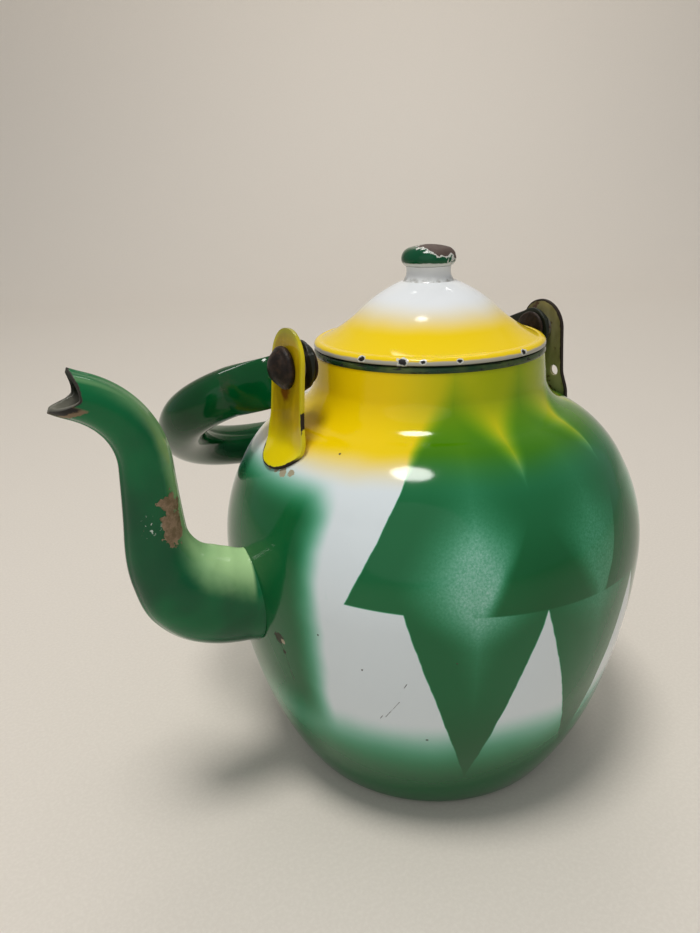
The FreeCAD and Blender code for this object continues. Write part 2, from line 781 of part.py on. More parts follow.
def make_handle_bow():
    body = new_body("handle_bow")
    path = new_sketch(body, "XY_Plane", "bow_path")
    trace(path, [
        ("0", "bow_depth"),
        ("bow_half_width - bow_corner", "bow_depth"),
        ("bow_half_width", "bow_depth - bow_corner", "bow_corner", right_turn),
        ("hook_end_x", "hook_end_y", "bow_hook", right_turn),
    ], closed=False)
    section = new_sketch(body, "YZ_Plane", "bow_section")
    circle(section, "outside", "bow_depth", "0", "tube_radius")
    circle(section, "inside", "bow_depth", "0", "tube_radius - tube_wall")
    tube = body.newObject("PartDesign::AdditivePipe", "bow_tube")
    tube.Profile = section
    tube.Spine = (path, ["Edge1", "Edge2", "Edge3"])
    doc.recompute()
    mirror = body.newObject("PartDesign::Mirrored", "bow_mirror")
    mirror.Originals = [tube]
    mirror.MirrorPlane = (origin_plane(body, "YZ_Plane"), [""])
    body.Tip = mirror
    raised = FreeCAD.Placement(vector(0, 0, size("arm_offset")), FreeCAD.Rotation())
    body.Placement = handle_place() * raised
    doc.recompute()
    return body


def lug_section(name, spot, heading, half_height, half_thickness):
    ring = doc.addObject("Part::Ellipse", name)
    ring.setExpression("MajorRadius", bound(half_height))
    ring.setExpression("MinorRadius", bound(half_thickness))
    along = vector(math.sin(heading), math.cos(heading), 0)
    side = upright.cross(along) * -1
    matrix = FreeCAD.Matrix(
        0, side.x, along.x, spot.x,
        0, side.y, along.y, spot.y,
        1, 0, 0, spot.z,
        0, 0, 0, 1)
    ring.Placement = FreeCAD.Placement(matrix)
    return ring


# The flat end that turns on the rivet, and the stretch that swells from it into the tube
def make_rear_lug():
    rise = vector(0, 0, size("arm_offset"))
    end = hook_end() + rise
    heading = math.radians(size("bow_hook_angle"))
    middle_x = value("lug_inner") + size("lug_sheet") / 2
    flat = vector(middle_x, size("lug_reach"), 0) + rise
    halfway = (flat + end) / 2
    swell = halfway + vector(-size("lug_sheet") / 2, size("lug_sheet") / 2, 0)
    rings = [
        lug_section("lug_flat", flat, 0.0, "lug_end_half_height", "lug_half_sheet"),
        lug_section("lug_swell", swell, math.radians(size("lug_swell_angle")),
                    "lug_swell_half_height", "lug_swell_half_thickness"),
        lug_section("lug_round", end, heading, "tube_radius", "tube_radius"),
    ]
    loft = doc.addObject("Part::Loft", "lug_loft")
    loft.Sections = rings
    loft.Solid = True
    plate = new_body("lug_plate")
    outline = new_sketch(plate, "YZ_Plane", "lug_plate_outline", "lug_inner")
    trace(outline, [
        ("0", "- lug_radius"),
        ("lug_reach", "lug_end_foot"),
        ("lug_reach", "lug_end_top"),
        ("0", "lug_radius"),
    ])
    pad(plate, outline, "lug_plate_stock", "lug_sheet")
    eye = primitive("Part::Cylinder", "lug_eye", Radius="lug_radius", Height="lug_sheet")
    hole = primitive("Part::Cylinder", "lug_hole", Radius="shank_radius + shank_play", Height="lug_outer")
    level = FreeCAD.Rotation(across_y, 90.0)
    eye.Placement = FreeCAD.Placement(vector(value("lug_inner"), 0, 0), level)
    hole.Placement = FreeCAD.Placement(vector(), level)
    doc.recompute()
    flat_end = combine("Part::Fuse", "lug_flat_end", plate, eye)
    blank = combine("Part::Fuse", "lug_blank", flat_end, loft)
    lug = combine("Part::Cut", "rear_handle_lug", blank, hole)
    lug.Placement = handle_place()
    return lug


def make_lugs():
    rear = make_rear_lug()
    front = doc.addObject("Part::Mirroring", "front_handle_lug")
    front.Label = "front_handle_lug"
    front.Source = rear
    front.Normal = across_x
    doc.recompute()
    return [front, rear]


core = make_body_core()
pieces = [make_body_shell(), make_base_plate(), make_mouth_rim()]
pieces += make_spout(core)
for side in ("front", "rear"):
    pieces.append(make_ear(side, core))
    pieces += make_pivot(side)
pieces.append(make_handle_bow())
pieces += make_lugs()
pieces += [make_lid_dome(), make_lid_collar()]
pieces += make_knob()
doc.recompute()

for item in doc.Objects:
    if "Invalid" in item.State or "Error" in item.State:
        raise RuntimeError("%s did not build: %s" % (item.Label, item.State))

os.makedirs("parts", exist_ok=True)
for piece in pieces:
    shape = piece.Shape
    if shape.isNull() or not shape.isValid():
        raise RuntimeError("%s has no valid shape" % piece.Label)
    print("%-20s solids %d  volume %9.1f" % (piece.Label, len(shape.Solids), shape.Volume))
    shape.exportStep("parts/%s.step" % piece.Label)
print("handle laid back %.2f degrees below the level" % handle_rest_angle())
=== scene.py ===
import math
from functools import partial, reduce

import bmesh
import bpy
import numpy as np
from mathutils import Matrix, Vector


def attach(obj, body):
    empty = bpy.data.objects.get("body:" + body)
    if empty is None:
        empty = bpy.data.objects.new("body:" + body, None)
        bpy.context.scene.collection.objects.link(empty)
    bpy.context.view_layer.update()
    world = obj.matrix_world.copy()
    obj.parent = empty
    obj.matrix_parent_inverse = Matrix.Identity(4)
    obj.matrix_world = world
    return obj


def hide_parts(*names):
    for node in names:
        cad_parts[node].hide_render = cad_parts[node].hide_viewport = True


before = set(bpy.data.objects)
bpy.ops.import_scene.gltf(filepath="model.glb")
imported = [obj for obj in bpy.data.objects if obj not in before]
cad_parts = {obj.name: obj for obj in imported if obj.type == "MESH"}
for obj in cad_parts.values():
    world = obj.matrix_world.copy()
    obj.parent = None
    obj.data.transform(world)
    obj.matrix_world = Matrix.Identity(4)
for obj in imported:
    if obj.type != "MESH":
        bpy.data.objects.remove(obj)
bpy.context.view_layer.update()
scene = bpy.context.scene
mm = 0.001
weldGap = 2e-6
sharpAngle = math.radians(50)
specularLevel = 0.30
print("frame loaded,", len(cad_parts), "nodes")


# Quads of a grid of rows by columns, closed round the rows and round the columns where asked
def gridFaces(rows, cols, wrapRows, wrapCols):
    index = np.arange(rows * cols).reshape(rows, cols)
    if wrapRows:
        index = np.vstack([index, index[:1]])
    if wrapCols:
        index = np.hstack([index, index[:, :1]])
    quads = [index[:-1, :-1], index[:-1, 1:], index[1:, 1:], index[1:, :-1]]
    return np.stack(quads, -1).reshape(-1, 4)


# An object of the scene that shows a mesh, a lamp or a camera
def placed(name, data):
    thing = bpy.data.objects.new(name, data)
    scene.collection.objects.link(thing)
    return thing


# One mesh from a grid of points in millimetres; poles and meeting edges are welded
def addPiece(name, grid, body, nodes, finish, wrapRows=False, wrapCols=True, marks=None, kept=None):
    rows, cols = grid.shape[:2]
    faces = gridFaces(rows, cols, wrapRows, wrapCols)
    if kept is not None:
        faces = faces[kept.ravel()]
    mesh = bpy.data.meshes.new(name)
    mesh.from_pydata(grid.reshape(-1, 3) * mm, [], faces)
    for markName, values in (marks or {}).items():
        layer = mesh.attributes.new(markName, "FLOAT", "POINT")
        layer.data.foreach_set("value", np.broadcast_to(values, (rows, cols)).astype(np.float32).ravel())
    work = bmesh.new()
    work.from_mesh(mesh)
    bmesh.ops.delete(work, geom=[vert for vert in work.verts if not vert.link_faces], context="VERTS")
    bmesh.ops.remove_doubles(work, verts=work.verts, dist=weldGap)
    bmesh.ops.recalc_face_normals(work, faces=work.faces)
    work.to_mesh(mesh)
    work.free()
    mesh.shade_smooth()
    mesh.set_sharp_from_angle(angle=sharpAngle)
    mesh.materials.append(finish)
    piece = placed(name, mesh)
    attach(piece, body)
    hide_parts(*nodes)
    print("made", name, len(mesh.polygons), "faces")
    return piece


# A run of profile points (radius, height): arcs of a given circle from point to point,
# swelling outwards for a plus sign and hollow for a minus, straight where the circle is 0
def profileRun(start, runs):
    points = [np.array([start], float)]
    last = np.array(start, float)
    for across, up, circle, steps in runs:
        here = np.array([across, up], float)
        share = np.linspace(0, 1, steps + 1)[1:, None]
        if circle == 0:
            points.append(last + (here - last) * share)
        else:
            chord = here - last
            length = np.hypot(*chord)
            normal = np.array([-chord[1], chord[0]]) / length
            rise = math.sqrt(circle * circle - length * length / 4)
            middle = (last + here) / 2 + normal * rise * np.sign(circle)
            first = math.atan2(*(last - middle)[::-1])
            sweep = math.atan2(*(here - middle)[::-1]) - first
            sweep = (sweep + math.pi) % (2 * math.pi) - math.pi
            turn = first + sweep * share
            points.append(middle + abs(circle) * np.hstack([np.cos(turn), np.sin(turn)]))
        last = here
    return np.vstack(points)


# The same line moved sideways by a wall's thickness, along its own normals
def offsetLine(line, wall):
    along = np.gradient(line, axis=0)
    along /= np.linalg.norm(along, axis=1)[:, None]
    return line + wall * np.stack([-along[:, 1], along[:, 0]], 1)


# Angles of the points round a circle
def fullTurn(steps):
    return np.linspace(0, 2 * math.pi, steps, endpoint=False)


# Turned shape: the profile goes round the Z axis; every point is (r cos a, r sin a, z)
def turned(line, turns):
    turn = fullTurn(turns)
    across, up = line[:, :1], line[:, 1:]
    return np.stack([across * np.cos(turn), across * np.sin(turn), up + 0 * turn], -1)


# Smooth curve through a few (place, value) pairs: cubic Hermite pieces, flat at peaks so it never overshoots
def smoothThrough(pairs, where):
    place, height = np.array(pairs, float).T
    slope = np.diff(height) / np.diff(place)
    before, after = slope[:-1], slope[1:]
    middle = np.where(after * before > 0, 2 * after * before / (after + before + 1e-12), 0)
    tangent = np.concatenate([[slope[0]], middle, [slope[-1]]])
    spot = np.clip(np.searchsorted(place, where) - 1, 0, len(place) - 2)
    width = place[spot + 1] - place[spot]
    t = np.clip((where - place[spot]) / width, 0, 1)
    return ((1 + 2 * t) * (1 - t) ** 2 * height[spot] + t * (1 - t) ** 2 * width * tangent[spot]
            + t * t * (3 - 2 * t) * height[spot + 1] + t * t * (t - 1) * width * tangent[spot + 1])


# A material and short words for its nodes; lengths in it are millimetres
class Finish:
    def __init__(self, name, roughness, bareColour):
        self.material = bpy.data.materials.new(name)
        self.material.use_nodes = True
        self.material.diffuse_color = (*bareColour, 1)
        self.colour = bareColour
        self.tree = self.material.node_tree
        self.shader = self.tree.nodes["Principled BSDF"]
        self.plug(self.shader, {"Roughness": roughness, "Specular IOR Level": specularLevel})
        here = self.add("ShaderNodeTexCoord").outputs["Object"]
        self.place = self.vector("SCALE", here, scale=1 / mm)
        self.x, self.y, self.z = self.add("ShaderNodeSeparateXYZ", {0: self.place}).outputs

    # A node with its plugs and settings
    def add(self, kind, plugs=None, **settings):
        node = self.tree.nodes.new(kind)
        for key, setting in settings.items():
            setattr(node, key, setting)
        self.plug(node, plugs or {})
        return node

    # Inputs by name or number: each gets a link or a plain value, and None leaves it as it is
    def plug(self, node, plugs):
        for key, value in plugs.items():
            if isinstance(value, bpy.types.NodeSocket):
                self.tree.links.new(value, node.inputs[key])
            elif value is not None:
                socket = node.inputs[key]
                socket.default_value = (*value, 1) if socket.type == "RGBA" else value

    # One step of arithmetic
    def calc(self, operation, *values):
        return self.add("ShaderNodeMath", dict(enumerate(values)), operation=operation).outputs[0]

    # The first value less the second
    def less(self, first, second):
        return self.calc("SUBTRACT", first, second)

    # A value times a slope, plus a start
    def line(self, value, slope, start):
        return self.calc("MULTIPLY_ADD", value, slope, start)

    # One step with vectors; lengths and products come out as numbers
    def vector(self, operation, first, second=None, scale=None):
        plugs = {0: first, 1: second, "Scale": scale}
        node = self.add("ShaderNodeVectorMath", plugs, operation=operation)
        plain = operation in ("LENGTH", "DISTANCE", "DOT_PRODUCT")
        return node.outputs["Value" if plain else "Vector"]

    # Sum of all values
    def total(self, *values):
        return reduce(partial(self.calc, "ADD"), values)

    # Product of all values
    def times(self, *values):
        return reduce(partial(self.calc, "MULTIPLY"), values)

    # How far a value is past a limit, and 0 before it
    def excess(self, value, limit):
        return self.calc("MAXIMUM", self.less(value, limit), 0.0)

    # 0 before the first value and 1 past the second, eased between
    def fade(self, value, first, second):
        plugs = {"Value": value, "From Min": first, "From Max": second}
        return self.add("ShaderNodeMapRange", plugs, interpolation_type="SMOOTHSTEP").outputs[0]

    # The same by height, which noise may roughen
    def level(self, first, second, *noise):
        return self.fade(self.roughened(self.z, *noise) if noise else self.z, first, second)

    # Covered by any of the masks
    def either(self, *masks):
        return self.less(1.0, self.times(*[self.less(1.0, mask) for mask in masks]))

    # Colours by share: the first at 0, and at 1 the second or what the kind makes of both
    def mix(self, share, first, second, kind="MIX"):
        plugs = {0: share, 6: first, 7: second}
        return self.add("ShaderNodeMix", plugs, data_type="RGBA", blend_type=kind).outputs[2]

    # A coat over the colour that is there, by share
    def coat(self, share, tint):
        self.colour = self.mix(share, self.colour, tint)

    # Numbers by share: the first at 0, the second at 1
    def blend(self, share, first, second):
        return self.add("ShaderNodeMix", {0: share, 2: first, 3: second}).outputs[0]

    # Noise from 0 to 1 whose grains have a length
    def grain(self, length, detail=2.0, rough=0.5, place=None):
        plugs = {"Vector": place or self.place, "Scale": 1.0 / length, "Detail": detail, "Roughness": rough}
        return self.add("ShaderNodeTexNoise", plugs).outputs[0]

    # Noise with its contrast raised between two values
    def tone(self, first, second, length, detail=2.0, rough=0.5):
        return self.fade(self.grain(length, detail, rough), first, second)

    # A value plus an amount of noise
    def roughened(self, value, amount, length, detail=2.0, rough=0.5):
        return self.line(self.grain(length, detail, rough), amount, value)

    # A value that the mesh carries at its points
    def mark(self, name):
        return self.add("ShaderNodeAttribute", attribute_name=name).outputs["Fac"]

    # The place with each axis scaled
    def stretched(self, x, y, z):
        return self.vector("MULTIPLY", self.place, (x, y, z))

    # A ragged round patch about a point: its size less the distance, so above 0 inside
    def patch(self, centre, size, ragged=0.35, grainLength=3.0, squeeze=(1, 1, 1)):
        gap = self.vector("MULTIPLY", self.vector("SUBTRACT", self.place, centre), squeeze)
        wobble = self.less(self.grain(grainLength, 3.0, 0.6), 0.5)
        far = self.line(wobble, 2 * ragged * size, self.vector("LENGTH", gap))
        return self.less(size, far)

    # Small chips wherever a fine noise peaks
    def pits(self, length, level):
        return self.fade(self.grain(length, 1.0, 0.4), level, level + 0.02)

    # Bump from a height, on top of an earlier bump where given
    def relief(self, height, distance, strength=1.0, after=None):
        plugs = {"Height": height, "Distance": distance * mm, "Strength": strength, "Normal": after}
        return self.add("ShaderNodeBump", plugs).outputs[0]

    # The material, with its colour and what is given plugged into its shader
    def done(self, roughness=None, normal=None, metallic=None):
        plugs = {"Base Color": self.colour, "Roughness": roughness, "Normal": normal, "Metallic": metallic}
        self.plug(self.shader, plugs)
        return self.material


# Colours of the enamel; coat is what one thickness of sprayed green lets through
enamel = {
    "white": (0.72, 0.78, 0.80),
    "yellow": (0.88, 0.62, 0.002),
    "green": (0.0003, 0.145, 0.042),
    "deepGreen": (0.0003, 0.062, 0.014),
    "coat": (0.016, 0.19, 0.062),
    "bare": (0.045, 0.030, 0.022),
    "rust": (0.16, 0.060, 0.020),
}


# Glossy fired enamel: faint orange peel, gloss that varies a little, chips that lie deeper and are dull
def fired(paint, chips=None, peel=0.05, rubbed=None):
    normal = paint.relief(paint.grain(6.0), peel, 0.6)
    gloss = paint.roughened(0.05, 0.10, 14.0, 3.0, 0.55)
    if chips is not None:
        gloss = paint.line(chips, 0.5, gloss)
        normal = paint.relief(paint.less(1.0, chips), 0.25, 0.7, normal)
    if rubbed is not None:
        gloss = paint.line(rubbed, 0.30, gloss)
    return paint.done(gloss, normal)


# Body: the outside's profile from the foot to the neck, each run as (radius, height, circle, steps)
bodyDims = {
    "wall": 1.2,
    "turns": 288,
    "foot": (60.5, 0.0),
    "runs": [(64.0, 3.2, 8.5, 8), (81.1, 43.2, 150, 22), (90.0, 100.0, 250, 28), (81.4, 136.9, 69, 22),
             (58.5, 159.3, 46.5, 22), (48.4, 171.2, -16, 16), (47.3, 182.7, 0, 8)],
}
bodyLine = profileRun(bodyDims["foot"], bodyDims["runs"])

# Sprayed darts: half widths in degrees of turn, heights in mm
darts = {
    "step": 33.0, "wing": 30.0, "waist": 16.5, "wingHeight": 106.0, "wingTilt": 0.072, "tiltFrom": 86.0,
    "tip": 27.0, "slope": 0.31, "slopeFrom": 110.0, "neckFrom": 158.0, "neckSlope": 0.55,
    "upperReach": 1.38, "lowerReach": 1.46, "crisp": 0.35, "softFrom": 150.0, "softSlope": 0.45,
    "farTurn": (30.0, 36.0), "farSoft": 4.5, "join": 16.0, "thin": (9.0, 34.0),
}
# Where each part of the spray fades in, by height in mm or by degrees of turn.
# A family of darts: its shift in steps, the turn where it ends, its softness and what its middle loses.
spray = {
    "veil": (174.0, 142.0), "heavy": (80.0, 40.0), "low": (152.0, 128.0), "twoCoats": (142.0, 116.0),
    "hazeTurn": (150.0, 92.0), "hazeHeight": (150.0, 172.0), "band": (66.0, 27.0), "yellow": (149.0, 160.0),
    "haloTurn": (31.5, 20.5), "haloTop": (150.0, 134.0), "haloFoot": (36.0, 66.0), "thickness": 1.3,
    "families": [(0.5, 148.5, 0.35, 0.56), (-0.5, 115.5, 3.0, 0.30)],
}


# Radius of the body's outside at a height
def bodyRadius(height):
    return np.interp(height, bodyLine[:, 1], bodyLine[:, 0])


# One family of sprayed darts: sharp along the stencil's edge, paler towards the middle.
# A wing narrows upwards from its lower edge, and a point narrows from the waist down to the tip.
def dartSpray(paint, angle, shift, last, softness):
    d, height = darts, paint.z
    turn = paint.calc("ADD", angle, shift)
    away = paint.total(paint.calc("PINGPONG", turn, d["step"]), paint.roughened(-0.45, 0.9, 9.0))
    wing = paint.line(angle, d["wingTilt"], d["wingHeight"] - d["tiltFrom"] * d["wingTilt"])
    over = paint.less(height, wing)
    upper = paint.line(height, -d["slope"], d["wing"] + d["slope"] * d["slopeFrom"])
    upper = paint.less(upper, paint.times(paint.excess(height, d["neckFrom"]), d["neckSlope"]))
    fromTip = paint.less(height, d["tip"])
    lower = paint.times(paint.calc("DIVIDE", fromTip, paint.less(wing, d["tip"])), d["waist"])
    upperGap = paint.times(paint.less(upper, away), d["upperReach"])
    lowerGap = paint.times(paint.less(lower, away), d["lowerReach"])
    soft = paint.line(paint.excess(height, d["softFrom"]), d["softSlope"], softness)
    farSide = paint.fade(paint.calc("MODULO", turn, 2 * d["step"]), *d["farTurn"])
    soft = paint.line(farSide, d["farSoft"], soft)
    above = paint.fade(over, -d["crisp"], d["crisp"])
    upperIn = paint.fade(upperGap, paint.times(soft, -1.0), soft)
    lowerIn = paint.fade(lowerGap, -d["crisp"], d["crisp"])
    inside = paint.blend(above, lowerIn, upperIn)
    # depth from the nearest edge; the wing's underside counts only outside the waist
    outer = paint.times(paint.fade(away, d["waist"] + 4, d["waist"] - 6), 60.0)
    upperDepth = paint.calc("MINIMUM", upperGap, paint.calc("ADD", over, outer))
    depth = paint.blend(paint.fade(over, -d["join"], d["join"]), lowerGap, upperDepth)
    return paint.times(inside, paint.fade(angle, last + 2, last)), paint.fade(depth, *d["thin"])


# Sprayed green lets the ground shine through: ground times the coat's colour to the power of its thickness
def inked(paint, ground, thickness):
    through = [paint.calc("POWER", share, thickness) for share in enamel["coat"]]
    tint = paint.add("ShaderNodeCombineColor", dict(enumerate(through))).outputs[0]
    return paint.mix(1.0, ground, tint, "MULTIPLY")


# A point on the body's outside by its angle in degrees and its height
def onBody(degrees, height):
    turn, far = math.radians(degrees), float(bodyRadius(height))
    return (far * math.cos(turn), far * math.sin(turn), height)


# A thin line between two points: distance from the segment, broken up by a fine noise
def scratch(paint, start, end, width):
    start, end = np.array(start), np.array(end)
    length = float(np.linalg.norm(end - start))
    ahead = tuple(((end - start) / length).tolist())
    gap = paint.vector("SUBTRACT", paint.place, tuple(start.tolist()))
    run = paint.calc("MINIMUM", paint.vector("DOT_PRODUCT", gap, ahead), length)
    foot = paint.vector("SCALE", ahead, scale=paint.calc("MAXIMUM", run, 0.0))
    off = paint.roughened(paint.vector("DISTANCE", gap, foot), 1.6 * width, 2.2)
    return paint.fade(off, 1.5 * width, 1.0 * width)


# Knocks and flakes as ((degrees, height), size), scratches as (start, end, width)
bodyKnocks = [((-166.3, 85.0), 2.6), ((-141.8, 83.8), 0.55), ((-152.7, 94.6), 0.5), ((-126.6, 51.8), 0.6),
              ((-155.9, 155.7), 0.6), ((-120.0, 90.0), 0.4), ((40.0, 70.0), 1.2), ((-165.0, 79.0), 1.0)]
bodyFlakes = [((-180.0, 147.0), 1.9), ((-176.5, 146.7), 1.7), ((-173.0, 146.6), 2.0), ((-169.5, 147.2), 1.7),
              ((-164.8, 84.0), 1.4)]
bodyScratches = [((-166.0, 84.0), (-163.5, 66.0), 0.35), ((-138.3, 61.0), (-131.3, 80.0), 0.28),
                 ((-136.8, 62.5), (-133.2, 71.0), 0.22)]


# White ground that turns yellow up the neck, darts and mists of green over it, then the wear
def makeBodyFinish():
    paint = Finish("bodyEnamelSprayed", 0.1, enamel["white"])
    turn = paint.calc("ABSOLUTE", paint.calc("ARCTAN2", paint.y, paint.x))
    angle = paint.times(turn, 180 / math.pi)
    speckle = paint.roughened(-0.20, 0.40, 0.9, 2.0, 0.7)
    mist = paint.roughened(-0.08, 0.16, 26.0, 3.0)
    # the spray thins out up the neck and thickens towards the foot, and is paler in the middle of a dart
    veil = paint.line(paint.level(*spray["veil"]), 0.74, 0.26)
    heavy = paint.times(paint.level(*spray["heavy"]), 0.16)
    low = paint.level(*spray["low"])
    coats = []
    for shift, last, softness, loss in spray["families"]:
        mask, thin = dartSpray(paint, angle, shift * darts["step"], last, softness)
        thin = paint.times(thin, paint.line(low, 0.75, 0.25))
        cover = paint.total(paint.line(thin, -loss, 0.82), heavy)
        cover = paint.total(cover, paint.times(thin, paint.total(speckle, mist)))
        coats.append(paint.times(mask, veil, cover))
    # where two darts meet, the upper part is one even coat and the lower part is two
    once = paint.calc("MAXIMUM", *coats)
    coat = paint.blend(paint.level(*spray["twoCoats"]), once, paint.either(*coats))
    haze = paint.times(paint.fade(angle, *spray["hazeTurn"]), paint.level(*spray["hazeHeight"]), 0.16)
    band = paint.level(*spray["band"], 8.0, 40.0)
    side = paint.roughened(paint.less(180.0, angle), 5.0, 30.0)
    halo = paint.times(paint.fade(side, *spray["haloTurn"]), paint.level(*spray["haloTop"]),
                       paint.level(*spray["haloFoot"]))
    green = paint.either(coat, paint.times(band, 0.95), paint.times(halo, 0.90), haze)
    yellow = paint.level(*spray["yellow"], 5.0, 35.0)
    ground = paint.mix(yellow, enamel["white"], enamel["yellow"])
    paint.colour = inked(paint, ground, paint.times(green, spray["thickness"]))
    worn = [paint.fade(paint.patch(onBody(*spot), size, 0.7, 1.6), 0.0, 0.25) for spot, size in bodyKnocks]
    for start, end, width in bodyScratches:
        worn.append(scratch(paint, onBody(*start), onBody(*end), width))
    specks = paint.either(*worn)
    paint.coat(paint.times(specks, 0.85), enamel["bare"])
    flakes = [paint.fade(paint.patch(onBody(*spot), size, 0.8, 2.4), 0.0, 0.3) for spot, size in bodyFlakes]
    paint.coat(paint.either(*flakes), (0.38, 0.33, 0.22))
    lining = paint.mix(paint.pits(3.0, 0.70), (0.74, 0.76, 0.75), (0.10, 0.07, 0.05))
    paint.coat(paint.mark("inside"), lining)
    return fired(paint, specks)


bodyWall = offsetLine(bodyLine, bodyDims["wall"])[::-1]
bodyLoop = np.vstack([bodyLine, bodyWall])
bodyInside = np.repeat([0.0, 1.0], len(bodyLine))[:, None]
addPiece("kettleBody", turned(bodyLoop, bodyDims["turns"]), "kettle", ["body_shell"],
         makeBodyFinish(), wrapRows=True, marks={"inside": bodyInside})

# Mouth rim: a rolled green bead round the mouth
rimDims = {"outer": 47.6, "inner": 45.9, "low": 182.8, "high": 185.0, "turns": 240}


# Patchy dark green, worn to black in streaks
def makeRimFinish():
    paint = Finish("rimEnamelGreen", 0.15, enamel["green"])
    worn = paint.fade(paint.grain(5.0, 4.0, 0.65, place=paint.stretched(1, 1, 3)), 0.56, 0.62)
    paint.colour = paint.mix(paint.tone(0.35, 0.65, 11.0), (0.010, 0.040, 0.014), (0.07, 0.10, 0.025))
    paint.coat(worn, (0.012, 0.012, 0.010))
    return fired(paint, worn)


# The bead's section: flat below and inside, rounded outside and on top
def rimLine():
    d = rimDims
    middle = (d["low"] + d["high"]) / 2
    return profileRun((d["inner"], d["low"]), [
        (d["outer"] - 0.1, d["low"], 0, 3), (d["outer"], middle, 1.6, 5),
        (d["outer"] - 0.5, d["high"] - 0.1, 1.5, 5), (d["outer"] - 0.9, d["high"], 0.6, 3),
        (d["inner"], d["high"], 0, 3)])


addPiece("mouthRim", turned(rimLine(), rimDims["turns"]), "kettle", ["mouth_rim"],
         makeRimFinish(), wrapRows=True)

# Spout: an oval tube along a swan-neck path in the XZ plane
spoutDims = {
    "reach": 122.4, "rootHeight": 95.0, "lowerBend": 36.0, "riserTop": 157.0, "upperBend": 30.0,
    "crook": 68.0, "start": 76.0, "sheet": 1.2, "around": 96, "along": 190,
    # place along the path in mm, half height, half width
    "half": [(0, 19.6, 14.4), (12, 19.4, 14.1), (29, 19.5, 14.2), (41.5, 17.9, 13.2), (53, 14.0, 10.8),
             (67, 10.9, 8.9), (93, 9.1, 7.9), (111, 8.3, 7.4), (129, 8.0, 7.3), (138, 8.4, 7.8)],
    "upperLip": 5.2, "lowerLip": 7.6, "notch": -0.4, "curl": 1.6, "ridge": 0.5,
}


# The spout's middle line by length: level run, quarter bend up, riser, bend outwards, straight lip
def spoutPath(length):
    d = spoutDims
    level = d["reach"] - d["lowerBend"] - d["start"]
    quarter = d["lowerBend"] * math.pi / 2
    riser = d["riserTop"] - d["rootHeight"] - d["lowerBend"]
    crook = math.radians(d["crook"])
    hook = d["upperBend"] * crook
    first = np.clip(length, None, level)
    second = np.clip(length - level, 0, quarter) / d["lowerBend"]
    third = np.clip(length - level - quarter, 0, riser)
    fourth = np.clip(length - level - quarter - riser, 0, hook) / d["upperBend"]
    fifth = np.clip(length - level - quarter - riser - hook, 0, None)
    lean = math.pi / 2 - second + fourth
    out = d["start"] + first + d["lowerBend"] * np.sin(second) + d["upperBend"] * (1 - np.cos(fourth))
    out = out + fifth * math.sin(crook)
    up = d["rootHeight"] + d["lowerBend"] * (1 - np.cos(second)) + third + d["upperBend"] * np.sin(fourth)
    up = up + fifth * math.cos(crook)
    return out, up, lean


# A ring point: half height times the sine along the path's upper normal, half width times the cosine across
def spoutSurface(shrink):
    d = spoutDims
    pairs = np.array(d["half"])
    turn = fullTurn(d["around"])[None, :]
    lift = np.sin(turn)
    lips = np.where(lift > 0, d["upperLip"], d["lowerLip"]) * np.abs(lift) ** 1.5
    end = pairs[-2, 0] + (lips - d["notch"] * np.cos(turn) ** 4)
    # the root starts on the body's wall: its length there comes from the body's radius at that height
    rootTall, rootWide = d["half"][0][1] - shrink, d["half"][0][2] - shrink
    rootUp = d["rootHeight"] + rootTall * lift
    rootOut = np.sqrt(bodyRadius(rootUp) ** 2 - (rootWide * np.cos(turn)) ** 2)
    begin = rootOut - d["start"] - 0.25
    share = np.linspace(0, 1, d["along"])[:, None]
    length = begin + (end - begin) * share
    tall = smoothThrough(pairs[:, [0, 1]], length) - shrink
    wide = smoothThrough(pairs[:, [0, 2]], length) - shrink
    flare = 0.9 * np.exp(-((length - begin) / 2.2) ** 2)
    seam = d["ridge"] * np.exp(-((np.abs(lift) - 1) / 0.012) ** 2)
    # the lower lip curls up a little towards its tip
    curl = np.where(lift < 0, d["curl"] * np.exp(-(end - length) / 6.0), 0.0)
    out, up, lean = spoutPath(length)
    rise = (tall + flare + seam - curl) * lift
    cross = (wide + flare) * np.cos(turn)
    grid = np.stack([-(out - rise * np.cos(lean)), cross, up + rise * np.sin(lean)], -1)
    return grid, length - begin, np.broadcast_to(lift, length.shape), end - length


